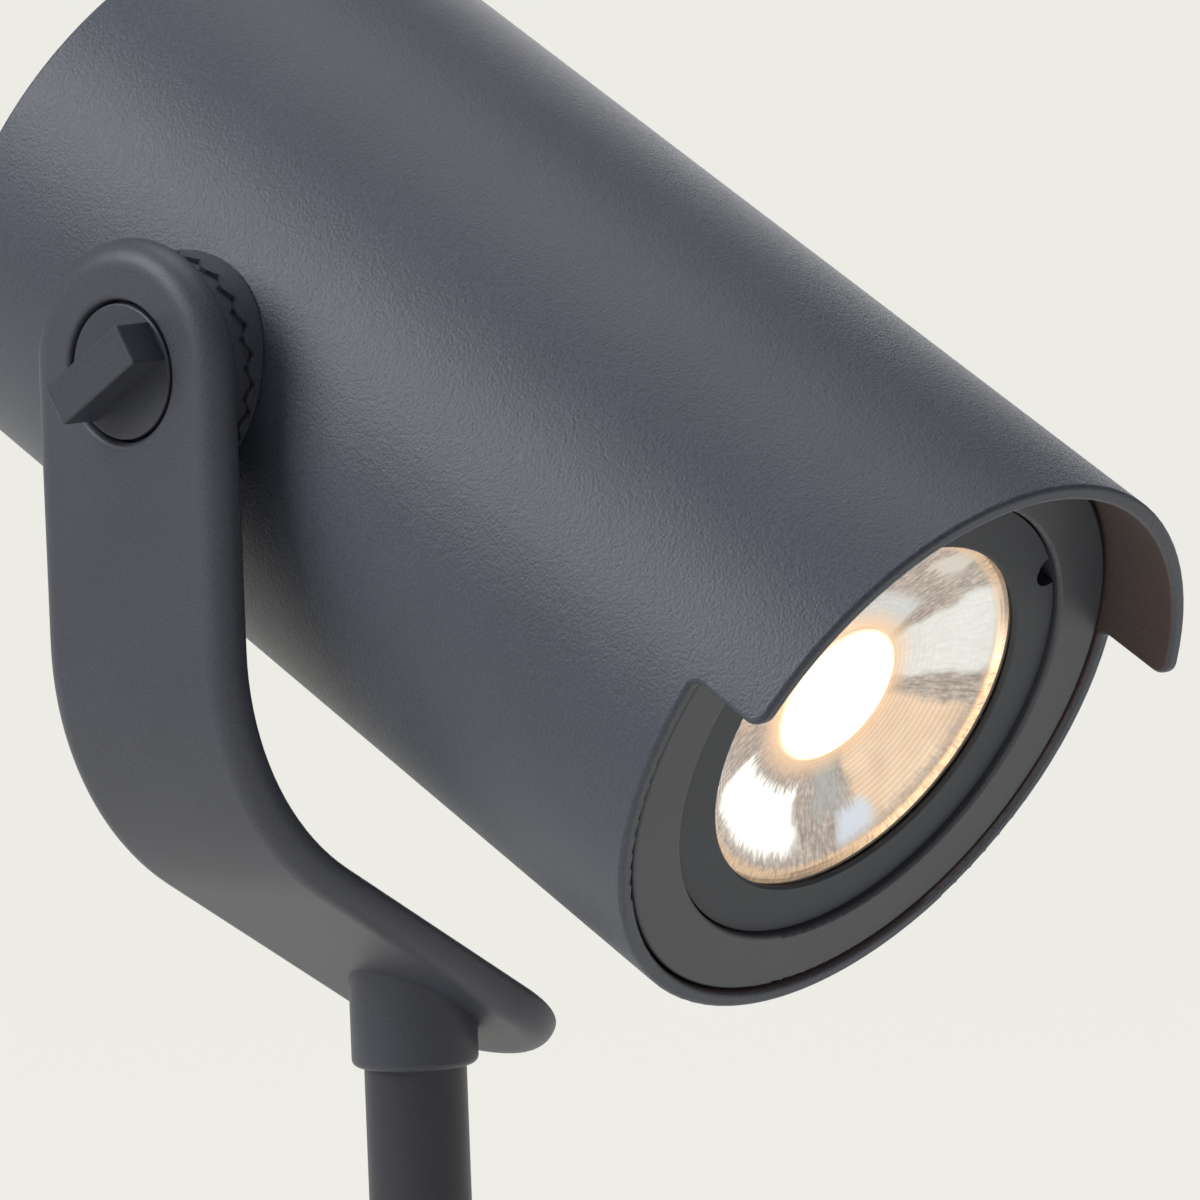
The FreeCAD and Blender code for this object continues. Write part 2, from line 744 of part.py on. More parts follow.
def make_screws(label, circle_radius, count, first_angle, seat_face, tip):
    """Identical screws round the head's axis; each head stands on the seat face, away from the tip."""
    body = new_body(label, HEAD)
    away = math.copysign(1, seat_face.value - tip.value)
    at = on_circle(circle_radius, first_angle)
    shank_circle = circle(new_sketch(body, "XY_Plane", offset=seat_face), d.screw_radius, *at)
    shank = pad(body, shank_circle, (seat_face - tip) * away, backwards=away > 0)
    head_circle = circle(new_sketch(body, "XY_Plane", offset=seat_face), d.screw_head_radius, *at)
    head = pad(body, head_circle, d.screw_head_height, backwards=away < 0)
    head_face = seat_face + d.screw_head_height * away
    key_circle = circle(new_sketch(body, "XY_Plane", offset=head_face), d.screw_key_radius, *at)
    key = cut(body, key_circle, d.screw_key_depth, backwards=away < 0)
    repeat(body, [shank, head, key], count)


def holes(body, radius, circle_radius, count, first_angle, face, depth, backwards=False):
    """Cut identical holes round the Z axis."""
    at = on_circle(circle_radius, first_angle)
    hole_circle = circle(new_sketch(body, "XY_Plane", offset=face), radius, *at)
    repeat(body, [cut(body, hole_circle, depth, backwards=backwards)], count)


# ---------------------------------------------------------------------------------------------------------
# Arm, in a frame with Z along the pivot axis away from the head and X up

def make_arm():
    """Cast strap: round top, bend, sloping foot with a boss below, toothed half hub, well for the knob."""
    body = new_body("arm", ARM_SIDE)
    make_strap(body)
    make_boss(body)
    hub = circle(new_sketch(body, "XY_Plane", offset=arm_hub_face), d.arm_hub_radius)
    pad(body, hub, strap_inside - arm_hub_face)
    cut(body, circle(new_sketch(body, "XY_Plane", offset=arm_face), well_radius), arm_face - well_floor)
    round_edges(body, lambda edge: is_circle(edge, well_radius, arm_face), d.well_round)
    bore = circle(new_sketch(body, "XY_Plane", offset=arm_face), d.bolt_radius + d.bolt_clearance)
    cut(body, bore, arm_face - arm_hub_face)
    make_teeth(body, arm_hub_face, arm_hub_face - d.tooth_height, d.arm_hub_radius,
               tooth_pitch / 2 - d.rest_tilt - QUARTER_TURN)


def make_strap(body):
    """Bent strap with two round ends; the edges of its outer face have the larger round."""
    beyond = d.strap_half_width + d.overcut
    foot_run = bend_along - nose_along + beyond
    foot_drop = foot_run * sine(d.foot_slope)
    foot_reach = foot_run * cosine(d.foot_slope)
    side = outline(new_sketch(body, "XZ_Plane"), [
        (beyond, strap_inside), (bend_centre[0], strap_inside), (*inner_bend_end, d.bend_radius),
        (inner_bend_end[0] - foot_drop, inner_bend_end[1] - foot_reach),
        (outer_bend_end[0] - foot_drop, outer_bend_end[1] - foot_reach),
        outer_bend_end, (bend_centre[0], arm_face, -outer_bend_radius), (beyond, arm_face)])
    pad(body, side, d.strap_half_width * 2, both_ways=True)
    crown = around_end(new_sketch(body, "XY_Plane"), ZERO, beyond + d.overcut)
    cut(body, crown, arm_face * 2, both_ways=True)
    nose = new_sketch(body, "YZ_Plane", tip=d.foot_slope)
    nose = around_end(nose, nose_along, nose_along - beyond - d.overcut, sideways=True)
    cut(body, nose, -boss_floor * 2, both_ways=True)
    round_edges(body, lambda edge: is_strap_edge(edge, arm_face), d.strap_round)
    inner_round = d.strap_thickness - d.strap_round - d.strap_flat
    round_edges(body, lambda edge: is_strap_edge(edge, strap_inside), inner_round)


def around_end(sketch, start, far, sideways=False):
    """Outline of what is cut off round an end of the strap; the round's centre is at start."""
    half = d.strap_half_width
    beyond = half + d.overcut
    way = 1 if far.value > start.value else -1
    corners = [(start, -beyond), (start, -half), (start + half * way, 0, half * way),
               (start, half, half * way), (start, beyond), (far, beyond), (far, -beyond)]
    if sideways:
        corners = [(corner[1], corner[0], *(-wrap(size) for size in corner[2:])) for corner in corners]
    return outline(sketch, corners)


def is_strap_edge(edge, face):
    """True for the upright edge of this face on one side of the strap; the face's outline runs on from it."""
    box = edge.BoundBox
    half = d.strap_half_width.value
    return near(box.YMin, half) and near(box.YMax, half) and near(box.XLength, d.strap_drop.value) \
        and near(box.ZMin, face.value) and near(box.ZMax, face.value)


def make_boss(body):
    """Boss under the foot, with the bolt's seat in the foot's upper face and the socket from below."""
    boss = circle(new_sketch(body, "YZ_Plane", offset=boss_floor), boss_radius)
    pad(body, boss, boss_top - boss_floor)
    reach = boss_radius + d.overcut
    rise = reach * tangent(d.foot_slope)
    above = outline(new_sketch(body, "XZ_Plane"), [
        (foot_top - rise, -reach), (foot_top + rise, -reach), (foot_top + rise, reach)])
    cut(body, above, reach * 2, both_ways=True)
    round_edges(body, is_boss_edge, d.boss_round)
    bolt_seat = circle(new_sketch(body, "YZ_Plane", offset=seat), d.pan_washer_radius + d.seat_clearance)
    cut(body, bolt_seat, boss_top - seat, backwards=True)
    socket = circle(new_sketch(body, "YZ_Plane", offset=boss_floor), bush_outer)
    cut(body, socket, boss_ceiling - boss_floor, backwards=True)
    bolt_hole = circle(new_sketch(body, "YZ_Plane", offset=boss_ceiling), d.pan_bolt_radius + d.screw_fit)
    cut(body, bolt_hole, d.seat_floor, backwards=True)


def is_boss_edge(edge):
    """True for the lower edge of the boss."""
    box = edge.BoundBox
    return near(box.XMin, boss_floor.value) and near(box.XMax, boss_floor.value)


# ---------------------------------------------------------------------------------------------------------
# Clamp knob

def make_knob():
    """Disc with a straight grip, the stud moulded into it, and a washer."""
    body = new_body("clamp_knob", KNOB)
    disc = circle(new_sketch(body, "XY_Plane", offset=knob_back), d.knob_radius)
    pad(body, disc, d.knob_thickness)
    round_edges(body, lambda edge: is_circle(edge, d.knob_radius, knob_face), d.knob_edge)
    grip = rectangle(new_sketch(body, "XY_Plane", offset=knob_face), -d.grip_length / 2, -d.grip_width / 2,
                     d.grip_length / 2, d.grip_width / 2)
    pad(body, grip, d.grip_height)
    round_edges(body, is_grip_edge, d.grip_edge)
    stud_hole = circle(new_sketch(body, "XY_Plane", offset=knob_back), d.bolt_radius + d.bolt_fit)
    cut(body, stud_hole, stud_end - knob_back, backwards=True)
    groove(body, 0, d.bolt_collar_radius + d.bolt_fit, collar_start, collar_end)

    stud = new_body("clamp_bolt", KNOB)
    turned(stud, [(0, bolt_end), (d.bolt_radius - d.bolt_chamfer, bolt_end),
                  (d.bolt_radius, bolt_end + d.bolt_chamfer), (d.bolt_radius, collar_start),
                  (d.bolt_collar_radius, collar_start), (d.bolt_collar_radius, collar_end),
                  (d.bolt_radius, collar_end), (d.bolt_radius, stud_end), (0, stud_end)])
    ring("knob_washer", KNOB, d.bolt_radius + d.screw_fit, d.knob_washer_radius, well_floor, knob_back)


def is_grip_edge(edge):
    """True for the upright and the top edges of the grip."""
    box = edge.BoundBox
    return near(box.ZMax, grip_top.value) and (near(box.ZLength, 0) or near(box.ZLength, d.grip_height.value))


# ---------------------------------------------------------------------------------------------------------
# Hub on the head's side of the tilt joint

def on_tube(radius, across):
    """Height of a tube of this radius over the joint frame's XY plane, at a distance across the tube."""
    beside = wrap(across) + d.pivot_rise
    return root(radius * radius - beside * beside) - d.head_offset


def make_hub():
    """Toothed half hub whose back fits the tube, with a spigot through the tube's wall and an insert."""
    body = new_body("tilt_hub", JOINT)
    side = d.hub_radius + d.overcut
    low = on_tube(saddle_radius, side)
    pad(body, circle(new_sketch(body, "XY_Plane", offset=low), d.hub_radius), hub_root - low)
    below = outline(new_sketch(body, "YZ_Plane"), [
        (side, low - d.overcut), (side, low), (-side, on_tube(saddle_radius, -side), saddle_radius),
        (-side, low - d.overcut)])
    cut(body, below, side * 2, both_ways=True)
    spigot = circle(new_sketch(body, "XY_Plane", offset=spigot_end), d.spigot_radius)
    pad(body, spigot, hub_root - spigot_end)
    cut(body, circle(new_sketch(body, "XY_Plane", offset=hub_root), d.insert_radius), hub_root - insert_start)
    make_teeth(body, hub_root, hub_root + d.tooth_height, d.hub_radius)

    bore = d.bolt_radius + d.bolt_fit
    sleeve = ring("threaded_insert", JOINT, bore, d.insert_radius, insert_start, hub_root)
    round_edges(sleeve, lambda edge: is_circle(edge, bore, hub_root), d.insert_chamfer, "Chamfer")


def make_hub_gasket():
    """Curved seal between the hub's saddle and the tube."""
    gasket = new_body("hub_gasket", JOINT)
    wide = d.hub_seal_radius + d.overcut
    sheet_outline = outline(new_sketch(gasket, "YZ_Plane"), [
        (wide, on_tube(saddle_radius, wide)), (-wide, on_tube(saddle_radius, -wide), saddle_radius),
        (-wide, on_tube(d.tube_radius, -wide)), (wide, on_tube(d.tube_radius, wide), -d.tube_radius)])
    pad(gasket, sheet_outline, wide * 2, both_ways=True)
    far = wide + d.overcut
    around = rectangle(new_sketch(gasket, "XY_Plane"), -far, -far, far, far)
    cut(gasket, circle(around, d.hub_seal_radius), hub_root, backwards=True)
    cut(gasket, circle(new_sketch(gasket, "XY_Plane"), spigot_hole), hub_root, backwards=True)


def make_hub_nut():
    """Saddle washer against the inside of the tube, and the nut on the spigot."""
    washer = new_body("hub_washer", JOINT)
    disc = circle(new_sketch(washer, "XY_Plane", offset=nut_seat), d.saddle_washer_radius)
    pad(washer, circle(disc, spigot_hole), wall_side - nut_seat)
    edge = d.saddle_washer_radius + d.overcut
    top = wall_side + d.overcut
    above = outline(new_sketch(washer, "YZ_Plane"), [
        (-edge, top), (-edge, on_tube(tube_inner, -edge)), (edge, on_tube(tube_inner, edge), -tube_inner),
        (edge, top)])
    cut(washer, above, edge * 2, both_ways=True)

    nut = new_body("hub_nut", JOINT)
    profile = hexagon(new_sketch(nut, "XY_Plane", offset=nut_end), d.hub_nut_flats)
    pad(nut, circle(profile, spigot_hole), d.hub_nut_thickness)


# ---------------------------------------------------------------------------------------------------------
# Head shell, front ring and inner ring

def make_shell():
    """Tube with the visor, lugs for the long screws at both ends and the hole for the hub's spigot."""
    body = new_body("head_shell", HEAD)
    ledge_face = rear_lug_face + d.rear_ledge_thickness
    turned(body, [(tube_inner, rear_face + d.rim_round),
                  (tube_inner + d.rim_round, rear_face, d.rim_round),
                  (d.tube_radius - d.rim_round, rear_face),
                  (d.tube_radius, rear_face + d.rim_round, d.rim_round),
                  (d.tube_radius, visor_end), (tube_inner, visor_end),
                  (tube_inner, ledge_face + d.rear_ledge), (tube_inner - d.rear_ledge, ledge_face),
                  (tube_inner - d.rear_ledge, rear_lug_face), (tube_inner, rear_lug_face)])
    cut_visor(body)
    round_edges(body, is_front_edge, d.rim_round)
    make_lugs(body, sink_back, d.front_lug_length, FRONT_POST, d.front_lug_length, backwards=True)
    make_lugs(body, rear_lug_face, d.rear_lug_length, REAR_POST, d.screw_bite + d.hole_spare, backwards=False)
    spigot = circle(new_sketch(body, "YZ_Plane"), d.spigot_radius + d.wall_hole_fit, d.pivot_rise, 0)
    cut(body, spigot, d.tube_radius)


def cut_visor(body):
    """Cut the front of the tube off below the visor's level edge."""
    low = -d.tube_radius - d.overcut
    far = visor_end + d.overcut
    tip_corner = d.visor_height + d.visor_tip_round
    front = outline(new_sketch(body, "YZ_Plane", turn=-d.visor_turn), [
        (low, d.front_reach), (d.visor_height - d.visor_inner_round, d.front_reach),
        (d.visor_height, d.front_reach + d.visor_inner_round, d.visor_inner_round),
        (d.visor_height, visor_end - d.visor_tip_round), (tip_corner, visor_end, -d.visor_tip_round),
        (tip_corner, far), (low, far)])
    cut(body, front, -low * 3, both_ways=True)


def make_lugs(body, face, length, angle, hole_depth, backwards):
    """Bosses inside the tube, with holes for the long screws."""
    at = on_circle(post_circle, angle)
    lug = pad(body, circle(new_sketch(body, "XY_Plane", offset=face), d.lug_radius, *at), length,
              backwards=backwards)
    repeat(body, [lug], d.post_count)
    holes(body, screw_hole, post_circle, d.post_count, angle, face, hole_depth, backwards=not backwards)


def is_front_edge(edge):
    """True for one outer and one inner edge of the level part of the rim, below the visor."""
    box = edge.BoundBox
    return near(box.ZMin, d.front_reach.value) and near(box.ZMax, d.front_reach.value)


def make_bezel():
    """Front ring with a shoulder for the glass, a grooved skirt in the tube and three long posts."""
    body = new_body("front_bezel", HEAD)
    skirt = bezel_radius - d.bezel_skirt_wall
    groove_middle = bezel_face - d.groove_setback
    groove_floor = tube_inner - d.groove_depth
    half = d.oring_section + d.screw_fit
    shoulder_back = shoulder - d.bezel_shoulder_height
    turned(body, [(skirt, bezel_back), (bezel_radius, bezel_back), (bezel_radius, groove_middle - half),
                  (groove_floor, groove_middle - half), (groove_floor, groove_middle + half),
                  (bezel_radius, groove_middle + half), (bezel_radius, bezel_face - d.bezel_edge),
                  (bezel_radius - d.bezel_edge, bezel_face, d.bezel_edge),
                  (d.bezel_bore + d.bezel_edge, bezel_face),
                  (d.bezel_bore, bezel_face - d.bezel_edge, d.bezel_edge),
                  (d.bezel_bore, shoulder), (d.bezel_shoulder_bore, shoulder),
                  (d.bezel_shoulder_bore, shoulder_back), (skirt, shoulder_back)])
    at = on_circle(post_circle, FRONT_POST)
    post = pad(body, circle(new_sketch(body, "XY_Plane", offset=sink_face), d.bezel_post_radius, *at),
               bezel_back - sink_face + d.root_overlap)
    repeat(body, [post], d.post_count)
    holes(body, screw_hole, post_circle, d.post_count, FRONT_POST, sink_face, d.screw_bite + d.hole_spare,
          backwards=True)

    seal = new_body("bezel_oring", HEAD)
    section_middle = tube_inner - d.groove_depth / 2
    revolve(seal, circle(new_sketch(seal, "XZ_Plane"), d.oring_section, section_middle, groove_middle),
            "Revolution")


def make_lens_ring():
    """Inner ring over the glass, with a round notch in its outer edge."""
    body = new_body("lens_ring", HEAD)
    turned(body, [(ring_seat, shoulder), (ring_radius, shoulder), (ring_radius, ring_face),
                  (d.ring_bore + d.ring_chamfer, ring_face), (d.ring_bore, ring_face - d.ring_chamfer),
                  (d.ring_bore, glass_front), (ring_seat, glass_front)])
    at = on_circle(ring_radius, d.notch_angle)
    cut(body, circle(new_sketch(body, "XY_Plane", offset=ring_face), d.notch_radius, *at), d.notch_depth)


# ---------------------------------------------------------------------------------------------------------
# Glass, lens, light source and heat sink

def make_optics():
    """Glass on its seal, the lens in its cup, and the board with the light source on a pad."""
    ring("front_glass", HEAD, ZERO, glass_radius, glass_back, glass_front)
    ring("glass_gasket", HEAD, d.glass_seal_bore, glass_radius, shoulder, glass_back)
    make_lens()
    make_cup()
    ring("cob_board", HEAD, ZERO, d.board_radius, board_back, board_face)
    ring("cob_emitter", HEAD, ZERO, d.emitter_radius, board_face, board_face + d.emitter_thickness)
    thermal = ring("thermal_pad", HEAD, ZERO, d.board_radius, sink_face, board_back)
    cut(thermal, lead_circles(new_sketch(thermal, "XY_Plane", offset=board_back), d.lead_hole_radius),
        d.pad_thickness)


def make_lens():
    """Collimator: curved side, flange, a well with a dome in front, a cavity over the light source."""
    well = lens_face - d.lens_well_depth
    dome_base = d.lens_well_radius
    dome_rise = d.lens_dome_height
    dome_radius = (dome_base * dome_base + dome_rise * dome_rise) / (dome_rise * 2)
    cavity_top = lens_back + d.lens_cavity_depth
    turned(new_body("lens_optic", HEAD), [
        (0, cavity_top), (d.lens_cavity_radius - d.lens_cavity_edge, cavity_top - d.lens_cavity_edge),
        (d.lens_cavity_radius, lens_back), (d.lens_foot_radius, lens_back),
        (lens_radius - d.cup_wall - d.lens_gap, lens_flange_back, d.lens_back_curve),
        (lens_radius, lens_flange_back), (lens_radius, lens_face), (lens_radius - d.lens_rim, lens_face),
        (dome_base, well, -d.lens_well_curve), (0, well + dome_rise, dome_radius)])


def make_cup():
    """Cup that carries the lens by its flange, with two screws through its foot."""
    cup = new_body("optic_holder", HEAD)
    mouth = lens_flange_back - d.cup_top
    foot = sink_face + d.cup_foot
    turned(cup, [(d.cup_bore, sink_face), (d.cup_foot_radius, sink_face), (d.cup_foot_radius, foot),
                 (d.cup_bore + d.cup_wall, foot), (lens_radius, mouth), (lens_radius, lens_flange_back),
                 (lens_radius - d.cup_wall, lens_flange_back), (lens_radius - d.cup_wall, mouth),
                 (d.cup_bore, foot)])
    holes(cup, screw_hole, d.cup_screw_circle, PAIR, ZERO, sink_face, d.cup_foot, backwards=True)
    make_screws("holder_screws", d.cup_screw_circle, PAIR, ZERO, foot, sink_face - d.sink_screw_bite)


def lead_circles(sketch, radius):
    """The places of both leads."""
    for side in (-1, 1):
        circle(sketch, radius, d.lead_spread * side, -d.lead_drop)
    return sketch


def make_heat_sink():
    """Plate across the tube with a core and radial fins behind it, and the screws of the front ring."""
    body = new_body("heat_sink", HEAD)
    plate_radius = tube_inner - d.sink_gap
    turned(body, [(0, fin_end), (d.sink_core_radius, fin_end), (d.sink_core_radius, sink_back),
                  (plate_radius, sink_back), (plate_radius, sink_face), (0, sink_face)])
    blade = rectangle(new_sketch(body, "XY_Plane", offset=fin_end), d.sink_core_radius - d.root_overlap,
                      -d.fin_thickness / 2, fin_radius, d.fin_thickness / 2)
    fin = pad(body, blade, sink_back - fin_end + d.root_overlap)
    repeat(body, [fin], d.fin_count)
    cut(body, lead_circles(new_sketch(body, "XY_Plane", offset=sink_face), d.lead_hole_radius),
        sink_face - fin_end)
    holes(body, screw_hole, post_circle, d.post_count, FRONT_POST, sink_face, d.sink_plate)
    holes(body, screw_hole, d.cup_screw_circle, PAIR, ZERO, sink_face, d.sink_screw_bite + d.hole_spare)
    holes(body, screw_hole, d.driver_screw_circle, PAIR, ZERO, fin_end, d.screw_bite + d.hole_spare,
          backwards=True)
    make_screws("bezel_screws", post_circle, d.post_count, FRONT_POST, sink_back - d.front_lug_length,
                sink_face + d.screw_bite)


# ---------------------------------------------------------------------------------------------------------
# Driver behind the heat sink

def make_driver():
    """Sheet bracket on the heat sink's core, with the potted driver and its two leads."""
    bracket = new_body("driver_bracket", HEAD)
    inner_bend = d.bracket_bend - d.plate_thickness
    bracket_end = block_back - d.bracket_spare
    side = outline(new_sketch(bracket, "YZ_Plane"), [
        (-d.bracket_drop, bracket_end), (bracket_floor, bracket_end),
        (bracket_floor, bracket_face - inner_bend), (bracket_floor + inner_bend, bracket_face, -inner_bend),
        (d.bracket_rise, bracket_face), (d.bracket_rise, fin_end), (d.bracket_bend - d.bracket_drop, fin_end),
        (-d.bracket_drop, fin_end - d.bracket_bend, d.bracket_bend)])
    pad(bracket, side, d.bracket_half_width * 2, both_ways=True)
    cut(bracket, lead_circles(new_sketch(bracket, "XY_Plane", offset=fin_end), d.lead_hole_radius),
        d.plate_thickness)
    holes(bracket, screw_hole, d.driver_screw_circle, PAIR, ZERO, fin_end, d.plate_thickness)
    make_screws("driver_screws", d.driver_screw_circle, PAIR, ZERO, bracket_face, fin_end + d.screw_bite)

    driver = new_body("driver", HEAD)
    face = rectangle(new_sketch(driver, "XY_Plane", offset=driver_front), -d.driver_half_width, bracket_floor,
                     d.driver_half_width, bracket_floor + d.driver_height)
    pad(driver, face, d.driver_length, backwards=True)
    round_edges(driver, is_long_edge, d.driver_edge)

    leads = new_body("led_leads", HEAD)
    pad(leads, lead_circles(new_sketch(leads, "XY_Plane", offset=driver_front), d.lead_radius),
        board_back - driver_front)


def is_long_edge(edge):
    """True for the driver's edges along the head's axis."""
    return near(edge.BoundBox.ZLength, d.driver_length.value)


def make_terminal_block():
    """Block on the bracket behind the driver, with three holes for wires in its rear face."""
    block = new_body("terminal_block", HEAD)
    base = rectangle(new_sketch(block, "XY_Plane", offset=block_front), -d.block_half_width, bracket_floor,
                     d.block_half_width, bracket_floor + d.block_height)
    pad(block, base, d.block_length, backwards=True)
    wire_holes = new_sketch(block, "XY_Plane", offset=block_back)
    for place in (-1, 0, 1):
        circle(wire_holes, d.lead_hole_radius, d.block_pitch * place, bracket_floor + d.block_height / 2)
    cut(block, wire_holes, d.block_hole_depth, backwards=True)


# ---------------------------------------------------------------------------------------------------------
# Rear cap and cable gland

def make_rear():
    """Cover in the rear end of the tube, its flat seal and its screws."""
    cap = new_body("rear_cap", HEAD)
    turned(cap, [(gland_hole, cap_face), (cap_radius - d.cap_edge, cap_face),
                 (cap_radius, cap_face + d.cap_edge, d.cap_edge), (cap_radius, cap_inside),
                 (gland_hole, cap_inside)])
    holes(cap, screw_hole, post_circle, d.post_count, REAR_POST, cap_face, d.cap_thickness, backwards=True)
    holes(cap, d.screw_head_radius + d.screw_fit, post_circle, d.post_count, REAR_POST, cap_face,
          d.cap_screw_sink, backwards=True)
    seal = ring("rear_gasket", HEAD, tube_inner - d.rear_seal_width, cap_radius, cap_inside, rear_lug_face)
    holes(seal, screw_hole, post_circle, d.post_count, REAR_POST, cap_inside, d.rear_seal, backwards=True)
    make_screws("rear_cap_screws", post_circle, d.post_count, REAR_POST, cap_face + d.cap_screw_sink,
                rear_lug_face + d.screw_bite)


def make_gland():
    """Cable gland in the middle of the rear cap: body, seal, clamping nut and locknut."""
    body = new_body("gland_body", HEAD)
    flange = hexagon(new_sketch(body, "XY_Plane", offset=cap_face), d.gland_flats)
    pad(body, flange, d.gland_flange, backwards=True)
    thread = circle(new_sketch(body, "XY_Plane", offset=cap_face), d.gland_thread_radius)
    pad(body, thread, d.cap_thickness + d.gland_inside)
    neck = circle(new_sketch(body, "XY_Plane", offset=cap_face - d.gland_flange), d.gland_neck_radius)
    pad(body, neck, d.gland_neck, backwards=True)
    bore = circle(new_sketch(body, "XY_Plane", offset=gland_neck_end), d.gland_bore)
    cut(body, bore, cap_inside + d.gland_inside - gland_neck_end, backwards=True)
    seat_circle = circle(new_sketch(body, "XY_Plane", offset=gland_neck_end), d.gland_seal_radius)
    cut(body, seat_circle, d.gland_seal_length - d.gland_seal_rise, backwards=True)

    ring("gland_seal", HEAD, d.gland_bore, d.gland_seal_radius, gland_seal_end,
         gland_seal_end + d.gland_seal_length)

    nut = new_body("gland_nut", HEAD)
    nut_front = cap_face - d.gland_flange - d.gland_nut_gap
    nut_back = gland_seal_end - d.gland_nut_end
    profile = hexagon(new_sketch(nut, "XY_Plane", offset=nut_front), d.gland_nut_flats)
    pad(nut, circle(profile, d.gland_nut_opening), nut_front - nut_back, backwards=True)
    inside = circle(new_sketch(nut, "XY_Plane", offset=nut_front), d.gland_neck_radius + d.gland_fit)
    cut(nut, inside, nut_front - gland_seal_end)

    locknut = new_body("gland_locknut", HEAD)
    hexed = hexagon(new_sketch(locknut, "XY_Plane", offset=cap_inside), d.locknut_flats)
    pad(locknut, circle(hexed, gland_hole), d.locknut_thickness)


# ---------------------------------------------------------------------------------------------------------
# The whole lamp

for make in (make_ground_spike, make_stem, make_pan_bolt, make_arm, make_knob, make_hub, make_hub_gasket,
             make_hub_nut, make_shell, make_bezel, make_lens_ring, make_optics, make_heat_sink, make_driver,
             make_terminal_block, make_rear, make_gland):
    make()
ring("pan_bush", ARM, bush_inner, bush_outer, boss_floor + d.bush_setback, boss_ceiling)

doc.recompute()
failed = [item.Name for item in doc.Objects if "Invalid" in item.State or "Error" in item.State]
failed += [body.Label for body in sub_parts if body.Shape.isNull() or not body.Shape.isValid()]
if failed:
    raise RuntimeError(f"failed: {', '.join(failed)}")

os.makedirs("parts", exist_ok=True)
for body in sub_parts:
    body.Shape.exportStep(f"parts/{body.Label}.step")
print(f"{len(sub_parts)} sub-parts, {sum(len(body.Shape.Solids) for body in sub_parts)} solids")
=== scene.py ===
"""Garden spike spotlight: materials, lens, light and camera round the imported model."""
import math

import bmesh
import bpy
from mathutils import Matrix, Vector


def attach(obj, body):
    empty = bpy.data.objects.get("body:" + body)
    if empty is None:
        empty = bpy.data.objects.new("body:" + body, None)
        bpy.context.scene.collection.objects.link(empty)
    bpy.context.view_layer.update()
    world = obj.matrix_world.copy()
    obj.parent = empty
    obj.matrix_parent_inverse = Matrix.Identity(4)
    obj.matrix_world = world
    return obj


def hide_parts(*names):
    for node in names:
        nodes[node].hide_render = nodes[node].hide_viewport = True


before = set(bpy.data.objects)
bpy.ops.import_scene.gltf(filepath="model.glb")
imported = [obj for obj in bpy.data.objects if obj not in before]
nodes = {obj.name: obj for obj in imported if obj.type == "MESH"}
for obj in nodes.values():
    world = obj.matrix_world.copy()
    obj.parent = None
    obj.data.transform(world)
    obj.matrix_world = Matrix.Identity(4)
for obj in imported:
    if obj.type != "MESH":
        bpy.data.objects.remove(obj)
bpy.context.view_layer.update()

MM = 0.001

# The head's own axes at rest: level across the head, up across the head, forward towards the light.
TILT = math.radians(30)
PIVOT_HEIGHT = 280 * MM
HEAD_OFFSET = 4.14 * MM         # head's axis beside the stem's axis
PIVOT_RISE = 1.25 * MM          # pivot axis above the head's axis
ACROSS = Vector((1, 0, 0))
HEAD_UP = Vector((0, -math.sin(TILT), math.cos(TILT)))
FORWARD = Vector((0, -math.cos(TILT), -math.sin(TILT)))
HEAD_ORIGIN = Vector((HEAD_OFFSET, 0, PIVOT_HEIGHT)) - HEAD_UP * PIVOT_RISE
HEAD_MATRIX = Matrix.Translation(HEAD_ORIGIN) @ Matrix((ACROSS, HEAD_UP, FORWARD)).transposed().to_4x4()


# --------------------------------------------------------------------------------------------------
# Node tools

NOISE_SPAN = (0.3, 0.7)         # most of a noise lies between these


def srgb(red, green, blue):
    """A colour given as 0 to 255 on the screen, as Blender's linear numbers."""
    def linear(value):
        value /= 255
        return value / 12.92 if value <= 0.04045 else ((value + 0.055) / 1.055) ** 2.4
    return (linear(red), linear(green), linear(blue), 1.0)


def shade(colour, factor):
    """A colour made darker or lighter by a factor."""
    return tuple(min(1.0, channel * factor) for channel in colour[:3]) + (1.0,)


def colour_sockets(sockets):
    """The sockets that hold a colour."""
    return [socket for socket in sockets if socket.type == "RGBA"]


